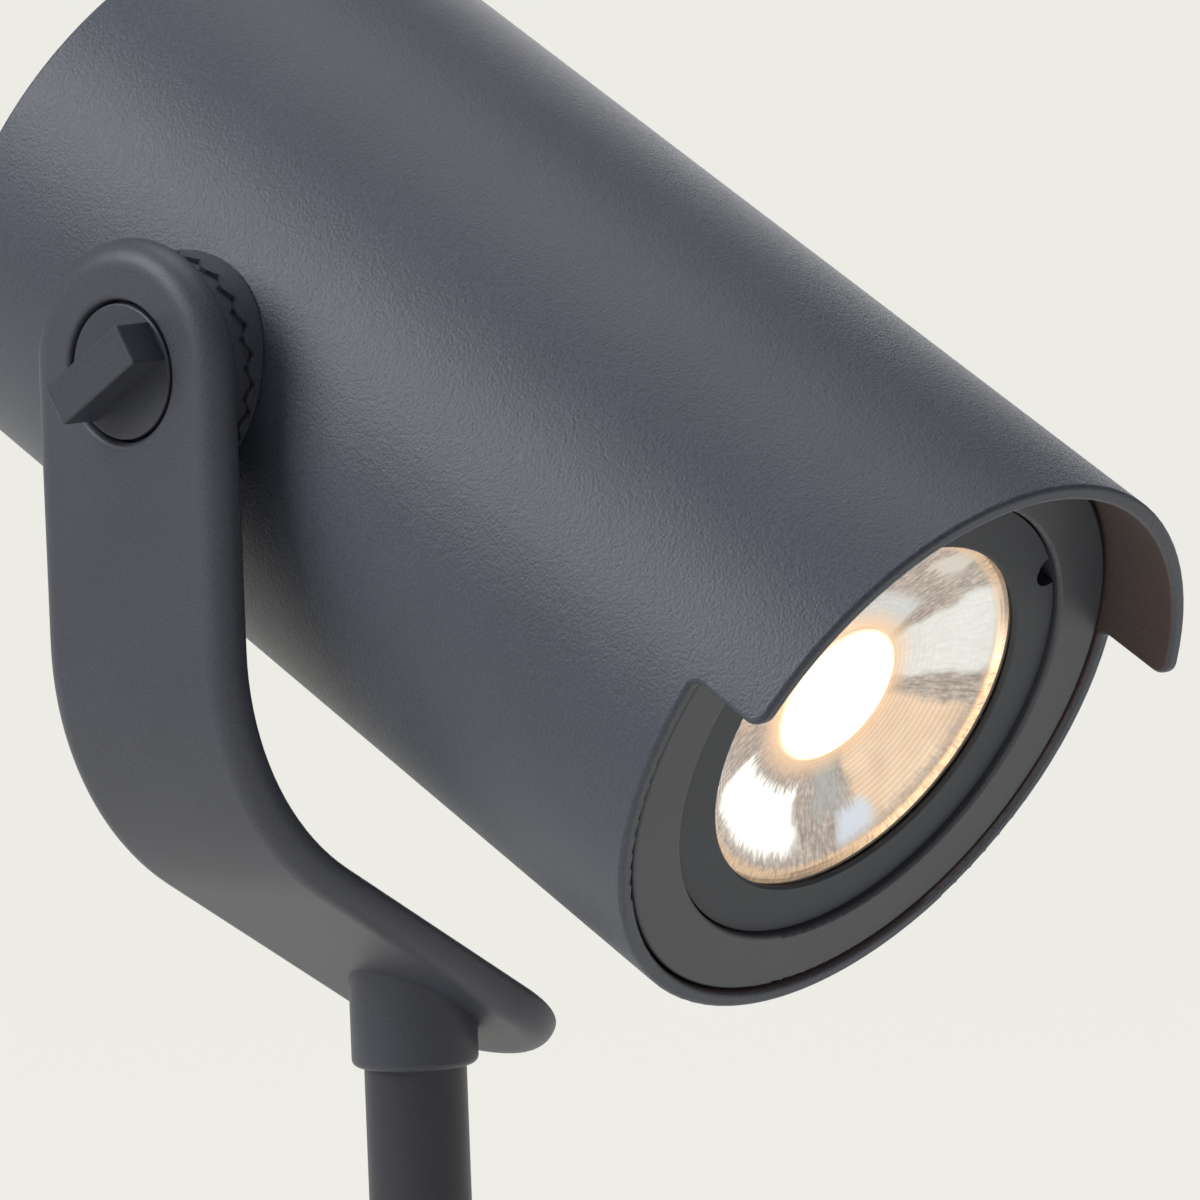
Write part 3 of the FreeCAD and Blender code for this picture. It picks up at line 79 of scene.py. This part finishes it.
class Graph:
    """A material's node tree with short ways to add nodes."""

    def __init__(self, name, **shader):
        self.material = bpy.data.materials.new(name)
        self.material.use_nodes = True
        self.tree = self.material.node_tree
        self.shader = self.tree.nodes["Principled BSDF"]
        self.output = self.tree.nodes["Material Output"]
        for socket, value in shader.items():
            self.shader.inputs[socket.replace("_", " ")].default_value = value

    def add(self, kind, **settings):
        """A new node with some of its settings."""
        node = self.tree.nodes.new(kind)
        for key, value in settings.items():
            setattr(node, key, value)
        return node

    def link(self, source, target):
        self.tree.links.new(source, target)

    def feed(self, value, socket):
        """Link a socket, or set a plain number or colour."""
        if isinstance(value, (int, float, tuple)):
            socket.default_value = value
        else:
            self.link(value, socket)

    def dress(self, **sources):
        """Link sources to the shader's sockets, by name."""
        for socket, source in sources.items():
            self.link(source, self.shader.inputs[socket.replace("_", " ")])

    def place(self):
        """Coordinates on the object, in metres."""
        return self.add("ShaderNodeTexCoord").outputs["Object"]

    def noise(self, vector, scale, detail=2.0, roughness=0.5):
        """Soft noise about a middle of 0.5."""
        node = self.add("ShaderNodeTexNoise")
        node.inputs["Scale"].default_value = scale
        node.inputs["Detail"].default_value = detail
        node.inputs["Roughness"].default_value = roughness
        self.link(vector, node.inputs["Vector"])
        return node.outputs["Fac"]

    def ramp(self, factor, stops):
        """Colours by position along a factor."""
        node = self.add("ShaderNodeValToRGB")
        elements = node.color_ramp.elements
        while len(elements) < len(stops):
            elements.new(0.5)
        for element, (position, colour) in zip(elements, stops):
            element.position = position
            element.color = colour
        self.link(factor, node.inputs["Fac"])
        return node.outputs["Color"]

    def fade(self, noise, first, second):
        """One colour that passes into another across a noise."""
        low, high = NOISE_SPAN
        return self.ramp(noise, [(low, first), (high, second)])

    def span(self, factor, low, high, from_low=0.0, from_high=1.0, smooth=False):
        """One range of numbers turned into another and held at its ends."""
        node = self.add("ShaderNodeMapRange", interpolation_type="SMOOTHSTEP" if smooth else "LINEAR")
        for name, value in (("Value", factor), ("From Min", from_low), ("From Max", from_high),
                            ("To Min", low), ("To Max", high)):
            self.feed(value, node.inputs[name])
        return node.outputs["Result"]

    def rise(self, factor, start, end):
        """A smooth step from zero up to one."""
        return self.span(factor, 0.0, 1.0, start, end, smooth=True)

    def fall(self, factor, start, end, top=1.0):
        """A smooth step from the top down to zero."""
        return self.span(factor, top, 0.0, start, end, smooth=True)

    def maths(self, operation, first, second=None):
        """A sum on sockets or plain numbers."""
        node = self.add("ShaderNodeMath", operation=operation)
        self.feed(first, node.inputs[0])
        if second is not None:
            self.feed(second, node.inputs[1])
        return node.outputs[0]

    def product(self, first, second):
        return self.maths("MULTIPLY", first, second)

    def weighted(self, *terms):
        """The sum of (socket, weight) pairs."""
        products = [self.product(socket, weight) for socket, weight in terms]
        total = products[0]
        for term in products[1:]:
            total = self.maths("ADD", total, term)
        return total

    def mix(self, factor, first, second):
        """Blend two colours; each is a colour or a socket."""
        node = self.add("ShaderNodeMix", data_type="RGBA")
        self.feed(factor, node.inputs["Factor"])
        for socket, colour in zip(colour_sockets(node.inputs), (first, second)):
            self.feed(colour, socket)
        return colour_sockets(node.outputs)[0]

    def bump(self, height, distance, before=None):
        """A relief of the given height, on top of the one before."""
        node = self.add("ShaderNodeBump")
        node.inputs["Distance"].default_value = distance
        self.link(height, node.inputs["Height"])
        if before is not None:
            self.link(before, node.inputs["Normal"])
        return node.outputs["Normal"]


# --------------------------------------------------------------------------------------------------
# Materials

BORE_RADIUS = 42.85 * MM        # just outside the bore of the head's tube, where the painted lens light ends
BORE_FADE = 0.15 * MM
COARSE_TONE = srgb(71, 75, 87)
# Warm light of the lens, painted as a tone on the inside of the visor
PAINTED_LENS_LIGHT_TONE = srgb(94, 80, 78)

# Coats: size and height of the pebbles, least and most roughness
COARSE_COAT = (0.42 * MM, 0.085 * MM, 0.40, 0.52)
FINE_COAT = (0.35 * MM, 0.022 * MM, 0.42, 0.50)
BEZEL_COAT = (0.30 * MM, 0.012 * MM, 0.42, 0.50)
STEM_COAT = (0.35 * MM, 0.012 * MM, 0.40, 0.48)
RING_COAT = (0.25 * MM, 0.008 * MM, 0.50, 0.60)
PEEL_GRAINS = 2.5               # pebbles to one wave of the orange peel
PEEL_SHARE = 0.45               # the peel's height against the pebbles'
DRIFT_GRAINS = 40               # pebbles to one patch of drifting colour

PLASTIC_GRAIN = 0.6 * MM
PLASTIC_RELIEF = 0.01 * MM
PLASTIC_CLOUD = 12 * PLASTIC_GRAIN
METAL_GRAIN = 1.1 * MM
METAL_RELIEF = 0.006 * MM
CAST_RELIEF = 0.012 * MM
PHOSPHOR_GRAIN = 1.6 * MM
PHOSPHOR_GLOW = 8.0
SMEAR_SIZE = 11 * MM


def outside_painted_lens_light(graph):
    """Zero on the inside of the tube's front half, where the lens's warm light is painted, and one on the
    rest of the head.
    """
    offset = graph.add("ShaderNodeVectorMath", operation="SUBTRACT")
    graph.link(graph.place(), offset.inputs[0])
    offset.inputs[1].default_value = HEAD_ORIGIN
    across = graph.add("ShaderNodeVectorMath", operation="CROSS_PRODUCT")
    ahead = graph.add("ShaderNodeVectorMath", operation="DOT_PRODUCT")
    for node in (across, ahead):
        graph.link(offset.outputs["Vector"], node.inputs[0])
        node.inputs[1].default_value = FORWARD
    length = graph.add("ShaderNodeVectorMath", operation="LENGTH")
    graph.link(across.outputs["Vector"], length.inputs[0])
    outer = graph.span(length.outputs["Value"], 0.0, 1.0, BORE_RADIUS, BORE_RADIUS + BORE_FADE)
    behind = graph.span(ahead.outputs["Value"], 1.0, 0.0, 0.0, BORE_FADE)
    return graph.maths("MAXIMUM", outer, behind)


def coat(name, colour, grain, relief, rough_low, rough_high, inside=None):
    """Powder coat: fine pebbles over a faint orange peel, with a little drift of colour and gloss.
    The inside of the visor can take a painted tone that stands in for the lens's warm light falling on it."""
    graph = Graph(name)
    place = graph.place()
    speckle = graph.noise(place, 1 / grain, roughness=0.55)
    drift = graph.noise(place, 1 / (DRIFT_GRAINS * grain))
    mixed = graph.weighted((speckle, 0.8), (drift, 0.2))
    painted = graph.ramp(mixed, [(0.34, shade(colour, 0.80)), (0.66, shade(colour, 1.20))])
    # Painted light: the lens's warm light as a tone on the inside of the visor
    if inside:
        painted = graph.mix(outside_painted_lens_light(graph), inside, painted)
    peel = graph.bump(graph.noise(place, 1 / (PEEL_GRAINS * grain), detail=1.0), PEEL_SHARE * relief)
    pebbles = graph.noise(place, 1 / grain, detail=1.5, roughness=0.6)
    graph.dress(Base_Color=painted,
                Roughness=graph.span(speckle, rough_low, rough_high, *NOISE_SPAN),
                Normal=graph.bump(pebbles, relief, peel))
    return graph.material


def plastic(name, colour, roughness):
    """Moulded plastic with a faint spark-eroded grain."""
    graph = Graph(name, Roughness=roughness)
    place = graph.place()
    cloud = graph.noise(place, 1 / PLASTIC_CLOUD, detail=3.0)
    graph.dress(Base_Color=graph.ramp(cloud, [(0.35, shade(colour, 0.86)), (0.65, colour)]),
                Normal=graph.bump(graph.noise(place, 1 / PLASTIC_GRAIN), PLASTIC_RELIEF))
    return graph.material


def metal(name, colour, rough_low, rough_high, relief=METAL_RELIEF):
    """Bare metal with faint marks of its making."""
    graph = Graph(name, Metallic=1.0)
    marks = graph.noise(graph.place(), 1 / METAL_GRAIN, detail=4.0, roughness=0.6)
    graph.dress(Base_Color=graph.fade(marks, shade(colour, 0.8), colour),
                Roughness=graph.span(marks, rough_low, rough_high, *NOISE_SPAN),
                Normal=graph.bump(marks, relief))
    return graph.material


def phosphor():
    """Yellow light source with a fine grain."""
    graph = Graph("phosphor", Roughness=0.4, Emission_Color=srgb(255, 234, 202),
                  Emission_Strength=PHOSPHOR_GLOW)
    cells = graph.noise(graph.place(), 1 / PHOSPHOR_GRAIN)
    yellow = srgb(250, 205, 90)
    graph.dress(Base_Color=graph.fade(cells, shade(yellow, 0.9), yellow))
    return graph.material


def clear_glass():
    """Flat float glass with the faintest smears."""
    graph = Graph("clear_glass", IOR=1.45, Transmission_Weight=1.0)
    smear = graph.noise(graph.place(), 1 / SMEAR_SIZE)
    graph.dress(Base_Color=graph.fade(smear, srgb(252, 253, 253), srgb(247, 251, 250)),
                Roughness=graph.span(smear, 0.0, 0.02, 0.4, 0.7))
    return graph.material


def assign(material, *names):
    """Give carried-over pieces a material."""
    for name in names:
        mesh = nodes[name].data
        mesh.materials.clear()
        mesh.materials.append(material)
        for polygon in mesh.polygons:
            polygon.material_index = 0


def dress_nodes():
    """Materials of the pieces that keep their own shape."""
    # The head shell carries the lens's warm light, painted on the inside of its visor
    assign(coat("coat_shell_painted_lens_light", COARSE_TONE, *COARSE_COAT, inside=PAINTED_LENS_LIGHT_TONE), "head_shell")
    assign(coat("coat_cap", COARSE_TONE, *COARSE_COAT), "rear_cap")
    assign(coat("coat_fine", srgb(69, 71, 81), *FINE_COAT), "arm", "tilt_hub")
    assign(coat("coat_knob", srgb(60, 62, 72), *FINE_COAT), "clamp_knob")
    assign(coat("coat_bezel", srgb(78, 80, 87), *BEZEL_COAT), "front_bezel")
    assign(coat("coat_stem", srgb(50, 51, 60), *STEM_COAT), "stem_tube")
    assign(coat("ring_dark", srgb(56, 59, 67), *RING_COAT), "lens_ring")
    assign(plastic("black_plastic", srgb(38, 38, 41), roughness=0.5), "ground_spike", "gland_body",
           "gland_nut", "gland_locknut", "terminal_block", "pan_bush", "pan_washer", "knob_washer")
    assign(metal("stainless", srgb(190, 190, 188), rough_low=0.25, rough_high=0.4), "pan_bolt",
           "clamp_bolt", "bezel_screws", "holder_screws", "driver_screws", "rear_cap_screws", "hub_nut",
           "stem_plug", "spike_grub_screw", "driver_bracket")
    assign(metal("brass", srgb(205, 170, 95), rough_low=0.25, rough_high=0.35), "threaded_insert")
    assign(metal("bare_aluminium", srgb(200, 202, 205), rough_low=0.35, rough_high=0.5, relief=CAST_RELIEF),
           "heat_sink", "hub_washer")
    assign(plastic("driver_case", srgb(45, 46, 50), roughness=0.35), "driver")
    assign(plastic("seal_rubber", srgb(24, 24, 25), roughness=0.6), "hub_gasket", "bezel_oring",
           "glass_gasket", "rear_gasket", "gland_seal")
    assign(plastic("heat_pad", srgb(120, 124, 130), roughness=0.8), "thermal_pad")
    assign(plastic("holder_white", srgb(225, 224, 218), roughness=0.4), "optic_holder")
    assign(plastic("board_white", srgb(232, 231, 226), roughness=0.35), "cob_board")
    assign(plastic("lead_red", srgb(160, 30, 25), roughness=0.4), "led_leads")
    assign(phosphor(), "cob_emitter")
    assign(clear_glass(), "front_glass")


# --------------------------------------------------------------------------------------------------
# Lens: a dish round a glowing middle, painted with fine rings and with bright and dull fields of painted
# reflection and highlight; its painted colours also glow.
# Its sizes are in millimetres and its angles in degrees about the head's axis.

LENS_FLANGE = 2.6
LENS_RIM = 1.0
LENS_FOOT = 9.4
LENS_CAVITY = 7.5
CAVITY_DEPTH = 6.5
CAVITY_EDGE = 0.9
WELL_RADIUS = 10.6
WELL_DEPTH = 4.5
DOME_RISE = 1.2
BACK_SHRINK = 2.05              # back's top edge inside the flange
BACK_BULGE = 1.9
CURVE_STEPS = 12
TURN_STEPS = 144
ON_AXIS = 1e-6
SHARP_EDGE = math.radians(40)

RING_PITCH = 0.8
LENS_RELIEF = 0.02 * MM
FIBRE_HEIGHT = 3.0              # the fibres' height against the rings'
BLUR_SIZE = 5 * MM
CELL_SIZE = 0.8 * MM
FIELD_SOFT = 1.2                # half the width of a field's inner and outer edge
SIDE_SOFT = 3.0                 # half the width of its sides
SIDE_SWING = 4.0                # how far its sides wander

# Fields of painted reflection, highlight and glow: first and last angle, inner and outer radius, raggedness
# of the inner and outer edge
AMBER_GLOW_FIELD = (-58, -6, 9, 24.5, 1.6)           # lower right: painted warm glow
PALE_REFLECTION_FIELD = (6, 44, 8, 27, 1.8)                # right: painted pale reflection
TOP_REFLECTION_FIELD = (54, 108, 8, 16.5, 1.6)             # top: painted reflection
STREAK_REFLECTION_FIELD = (62, 74, 21, 26, 2.4)            # top, near the rim: painted reflection
GREY_REFLECTION_FIELD = (-80, -62, 11, 20, 2.0)            # bottom: painted dull reflection
BLUISH_REFLECTION_FIELD = (-68, -54, 20.5, 25.0, 1.0)      # bottom, near the rim: painted bluish reflection
WHITE_HIGHLIGHT_FIELD = (-150, -90, 15, 23.5, 1.8)        # lower left: painted white highlight

# Soft edges of the painted rim light, highlight line, halo and glowing heart: where they start and end
RIM_EDGE = (24.7, 25.9)
LINE_EDGE = (25.4, 26.1)
LINE_START = (-85.0, -40.0)
LINE_END = (10.0, 35.0)
HALO_EDGE = (WELL_RADIUS - 0.8, WELL_RADIUS + 4.2)
HEART_EDGE = (WELL_RADIUS - 3.4, WELL_RADIUS + 0.2)

# Strength of the painted glow: the emitter's image in the heart, the highlight line, the white highlight and
# the whole dish
HEART_GLOW = 12.0
LINE_GLOW = 1.6
DISH_GLOW = 0.40
PATCH_GLOW = 0.4


def reach_along_head(name):
    """A node's lowest and highest point along the head's axis and its largest radius."""
    inverse = HEAD_MATRIX.inverted()
    points = [inverse @ vertex.co / MM for vertex in nodes[name].data.vertices]
    heights = [point.z for point in points]
    return min(heights), max(heights), max(math.hypot(point.x, point.y) for point in points)


def lens_profile():
    """Half section of the lens as (radius, height): cavity, curved back, flange, dish, low dome."""
    back, face, radius = reach_along_head("lens_optic")
    flange_back = face - LENS_FLANGE
    cavity_end = back + CAVITY_DEPTH
    points = [(0, cavity_end), (LENS_CAVITY - CAVITY_EDGE, cavity_end - CAVITY_EDGE), (LENS_CAVITY, back),
              (LENS_FOOT, back)]
    for index in range(1, CURVE_STEPS + 1):
        share = index / CURVE_STEPS
        out = LENS_FOOT + (radius - BACK_SHRINK - LENS_FOOT) * share + BACK_BULGE * math.sin(math.pi * share)
        points.append((out, back + (flange_back - back) * share))
    points += [(radius, flange_back), (radius, face), (radius - LENS_RIM, face)]
    for index in range(1, CURVE_STEPS * 2 + 1):
        share = index / (CURVE_STEPS * 2)
        out = radius - LENS_RIM + (WELL_RADIUS - radius + LENS_RIM) * share
        points.append((out, face - WELL_DEPTH * math.sin(share * math.pi / 2)))
    for index in range(1, CURVE_STEPS + 1):
        angle = math.pi / 2 * index / CURVE_STEPS
        points.append((WELL_RADIUS * math.cos(angle), face - WELL_DEPTH + DOME_RISE * math.sin(angle)))
    return points


class LensPaint(Graph):
    """The lens's material, with painted reflections, highlights and glow laid out by radius and angle about
    the head's axis.
    """

    def __init__(self):
        super().__init__("lens_facets_painted_light", Metallic=0.55, Roughness=0.16)
        place = self.place()
        separate = self.add("ShaderNodeSeparateXYZ")
        self.link(place, separate.inputs["Vector"])
        x, y = separate.outputs["X"], separate.outputs["Y"]
        squares = self.maths("ADD", self.product(x, x), self.product(y, y))
        self.radius = self.maths("DIVIDE", self.maths("SQRT", squares), MM)
        self.angle = self.maths("DEGREES", self.maths("ARCTAN2", y, x))
        self.fibres = self.strokes(per_degree=0.8, per_mm=0.35)
        self.blur = self.noise(place, 1 / BLUR_SIZE)
        self.cells = self.noise(place, 1 / CELL_SIZE, detail=3.0, roughness=0.7)

    def strokes(self, per_degree, per_mm):
        """Noise drawn out along the radius."""
        combine = self.add("ShaderNodeCombineXYZ")
        self.link(self.product(self.angle, per_degree), combine.inputs["X"])
        self.link(self.product(self.radius, per_mm), combine.inputs["Y"])
        return self.noise(combine.outputs["Vector"], 1.0, detail=4.0, roughness=0.65)

    def field(self, start, end, inner, outer, raggedness):
        """A mask for one field of painted light, between two angles and two radii, with ragged and soft
        edges.
        """
        ragged = self.maths("ADD", self.radius, self.span(self.fibres, -raggedness, raggedness, 0.2, 0.8))
        turned = self.maths("ADD", self.angle, self.span(self.blur, -SIDE_SWING, SIDE_SWING, 0.2, 0.8))
        mask = self.rise(ragged, inner - FIELD_SOFT, inner + FIELD_SOFT)
        mask = self.product(mask, self.fall(ragged, outer - FIELD_SOFT, outer + FIELD_SOFT))
        mask = self.product(mask, self.fall(turned, end - SIDE_SOFT, end + SIDE_SOFT))
        return self.product(mask, self.rise(turned, start - SIDE_SOFT, start + SIDE_SOFT))


def lens_material():
    """Painted light: a glowing white heart with a painted warm halo, painted pale reflections and darker
    fields on the dish, a painted highlight along the rim; every colour also glows.
    """
    paint = LensPaint()
    radius = paint.radius
    grain = paint.weighted((paint.fibres, 0.6), (paint.cells, 0.4))
    rings = paint.maths("SINE", paint.product(radius, 2 * math.pi / RING_PITCH))
    arcs = paint.weighted((paint.span(rings, 0.0, 1.0, -1.0, 1.0), 0.45),
                          (paint.span(paint.blur, 0.0, 1.0, 0.25, 0.75), 0.55))
    sheen = paint.span(grain, 0.0, 1.0, 0.35, 0.65)
    # Painted highlight: a white field at the lower left
    white = paint.field(*WHITE_HIGHLIGHT_FIELD)

    # Tones of the dish between the fields: painted light too, since the dish's colour is also its glow
    dull = [(0.36, srgb(108, 92, 84)), (0.5, srgb(160, 142, 132)), (0.64, srgb(206, 190, 180))]
    colour = paint.ramp(grain, dull)
    # Painted warm glow and painted reflections laid over the dish, field by field
    for field, tone in (
            (AMBER_GLOW_FIELD, paint.mix(arcs, srgb(208, 170, 140), srgb(250, 218, 186))),
            (PALE_REFLECTION_FIELD, paint.mix(sheen, srgb(212, 210, 209), srgb(236, 233, 231))),
            (TOP_REFLECTION_FIELD, paint.mix(sheen, srgb(190, 191, 194), srgb(214, 214, 214))),
            (STREAK_REFLECTION_FIELD, srgb(206, 196, 188)),
            (GREY_REFLECTION_FIELD, paint.mix(sheen, srgb(140, 136, 134), srgb(176, 172, 170))),
            (BLUISH_REFLECTION_FIELD, srgb(206, 212, 228))):
        colour = paint.mix(paint.field(*field), colour, tone)
    colour = paint.mix(white, colour, srgb(255, 253, 250))
    # Painted warm light along the rim
    rim = paint.product(paint.rise(radius, *RIM_EDGE), paint.span(grain, 0.25, 0.9, 0.36, 0.6))
    colour = paint.mix(rim, colour, srgb(236, 190, 140))
    # Painted warm halo round the heart
    colour = paint.mix(paint.fall(radius, *HALO_EDGE, top=0.9), colour, srgb(255, 206, 160))
    # Painted glow of the emitter seen through the lens: the white heart
    heart = paint.fall(radius, *HEART_EDGE)
    colour = paint.mix(heart, colour, srgb(255, 228, 196))

    # Painted highlight: a bright line along the rim at the lower right
    lower_right = paint.product(paint.rise(paint.angle, *LINE_START), paint.fall(paint.angle, *LINE_END))
    line = paint.product(paint.rise(radius, *LINE_EDGE), lower_right)
    # The painted colours are given out as light, most in the heart, the highlight line and the white
    # highlight
    glow = paint.weighted((heart, HEART_GLOW), (line, LINE_GLOW), (white, PATCH_GLOW))
    relief = paint.maths("ADD", rings, paint.product(paint.fibres, FIBRE_HEIGHT))
    paint.dress(Base_Color=colour,
                Emission_Color=colour,
                Emission_Strength=paint.maths("ADD", glow, DISH_GLOW),
                Normal=paint.bump(relief, LENS_RELIEF))
    return paint.material


def turned_piece(name, profile):
    """A closed solid from (radius, height) points in millimetres, turned about the head's axis."""
    mesh = bmesh.new()
    turns = [2 * math.pi * step / TURN_STEPS for step in range(TURN_STEPS)]
    loops = []
    for radius, height in profile:
        if radius < ON_AXIS:
            loops.append([mesh.verts.new((0, 0, height * MM))])
            continue
        out = radius * MM
        loops.append([mesh.verts.new((out * math.cos(turn), out * math.sin(turn), height * MM))
                      for turn in turns])
    for first, second in zip(loops, loops[1:]):
        for step in range(TURN_STEPS):
            after = (step + 1) % TURN_STEPS
            corners = [first[step % len(first)], first[after % len(first)],
                       second[after % len(second)], second[step % len(second)]]
            mesh.faces.new(list(dict.fromkeys(corners)))
    bmesh.ops.recalc_face_normals(mesh, faces=mesh.faces)
    data = bpy.data.meshes.new(name)
    mesh.to_mesh(data)
    mesh.free()
    data.shade_smooth()
    piece = bpy.data.objects.new(name, data)
    bpy.context.scene.collection.objects.link(piece)
    piece.matrix_world = HEAD_MATRIX
    return piece


def add_lens():
    """The lens with its dish of painted reflections and glow, in the place of the plain one."""
    lens = turned_piece("lens_optic_faceted", lens_profile())
    lens.data.set_sharp_from_angle(angle=SHARP_EDGE)
    lens.data.materials.append(lens_material())
    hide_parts("lens_optic")
    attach(lens, "head")


# --------------------------------------------------------------------------------------------------
# Floor, light and camera

BACKGROUND = srgb(239, 238, 231)
FLOOR_LEVEL = -180.5 * MM       # half a millimetre under the tip of the spike
FLOOR_REACH = 60.0
FLOOR_GLOW = 0.8                # share of the floor's tone that doesn't depend on the lamps
FLOOR_TONE = srgb(255, 254, 247)
ROOM_TONE = srgb(236, 237, 240)
ROOM_LIGHT = 0.26               # strength of the even light that falls on the object
HEAD_MIDDLE = Vector((0.0, -0.03, 0.26))
LAMPS = (
    # name, place, side of the square, power
    ("key", (-1.085, 0.603, 1.089), 0.9, 16.0),
    ("top", (0.129, 0.099, 1.554), 0.9, 5.4),
    ("rim", (0.928, 0.769, 0.672), 0.8, 3.6),
)
CAMERA_PLACE = (-0.810433, -0.786659, 0.355264)
CAMERA_ANGLES = (84.32774, 2.05186, -47.48423)
FOCAL_LENGTH = 244.685
SENSOR_WIDTH = 36.0
CLIP_START = 0.05
CLIP_END = 200.0


def ray_is(tree, *kinds):
    """One for a ray of any of the named kinds, and zero for the others."""
    path = tree.nodes.new("ShaderNodeLightPath").outputs
    result = path[kinds[0]]
    for kind in kinds[1:]:
        larger = tree.nodes.new("ShaderNodeMath")
        larger.operation = "MAXIMUM"
        tree.links.new(result, larger.inputs[0])
        tree.links.new(path[kind], larger.inputs[1])
        result = larger.outputs[0]
    return result


def add_floor():
    """Pale paper that keeps its tone and a soft shadow."""
    mesh = bpy.data.meshes.new("floor")
    corners = [(x * FLOOR_REACH, y * FLOOR_REACH, FLOOR_LEVEL)
               for x, y in ((-1, -1), (1, -1), (1, 1), (-1, 1))]
    mesh.from_pydata(corners, [], [(0, 1, 2, 3)])
    floor = bpy.data.objects.new("floor", mesh)
    bpy.context.scene.collection.objects.link(floor)
    graph = Graph("floor_paper", Roughness=0.9, Base_Color=BACKGROUND)
    glow = graph.add("ShaderNodeEmission")
    glow.inputs["Color"].default_value = FLOOR_TONE
    seen = ray_is(graph.tree, "Is Camera Ray", "Is Glossy Ray", "Is Transmission Ray")
    mix = graph.add("ShaderNodeMixShader")
    graph.link(graph.product(seen, FLOOR_GLOW), mix.inputs["Fac"])
    graph.link(graph.shader.outputs["BSDF"], mix.inputs[1])
    graph.link(glow.outputs["Emission"], mix.inputs[2])
    graph.link(mix.outputs["Shader"], graph.output.inputs["Surface"])
    mesh.materials.append(graph.material)


def add_world():
    """The background's tone to the eye and through glass, and a dim even light for everything else."""
    world = bpy.data.worlds.new("studio")
    bpy.context.scene.world = world
    world.use_nodes = True
    tree = world.node_tree
    backdrop = tree.nodes["Background"]
    backdrop.inputs["Color"].default_value = BACKGROUND
    room = tree.nodes.new("ShaderNodeBackground")
    room.inputs["Color"].default_value = ROOM_TONE
    room.inputs["Strength"].default_value = ROOM_LIGHT
    mix = tree.nodes.new("ShaderNodeMixShader")
    tree.links.new(ray_is(tree, "Is Camera Ray", "Is Transmission Ray"), mix.inputs["Fac"])
    tree.links.new(room.outputs["Background"], mix.inputs[1])
    tree.links.new(backdrop.outputs["Background"], mix.inputs[2])
    tree.links.new(mix.outputs["Shader"], tree.nodes["World Output"].inputs["Surface"])


def add_lamp(name, place, size, power):
    """A square soft box aimed at the head."""
    lamp = bpy.data.lights.new(name, "AREA")
    lamp.shape = "SQUARE"
    lamp.size = size
    lamp.energy = power
    lamp_object = bpy.data.objects.new(name, lamp)
    lamp_object.location = place
    lamp_object.rotation_euler = (HEAD_MIDDLE - Vector(place)).to_track_quat("-Z", "Y").to_euler()
    bpy.context.scene.collection.objects.link(lamp_object)


def add_camera():
    """The photograph's view: from the front left, a little above."""
    camera = bpy.data.cameras.new("camera")
    camera.sensor_fit = "HORIZONTAL"
    camera.sensor_width = SENSOR_WIDTH
    camera.lens = FOCAL_LENGTH
    camera.clip_start = CLIP_START
    camera.clip_end = CLIP_END
    camera_object = bpy.data.objects.new("camera", camera)
    camera_object.location = CAMERA_PLACE
    camera_object.rotation_euler = [math.radians(angle) for angle in CAMERA_ANGLES]
    bpy.context.scene.collection.objects.link(camera_object)
    bpy.context.scene.camera = camera_object


dress_nodes()
add_lens()
add_floor()
add_world()
for lamp_settings in LAMPS:
    add_lamp(*lamp_settings)
add_camera()
bpy.context.scene.view_settings.view_transform = "Standard"
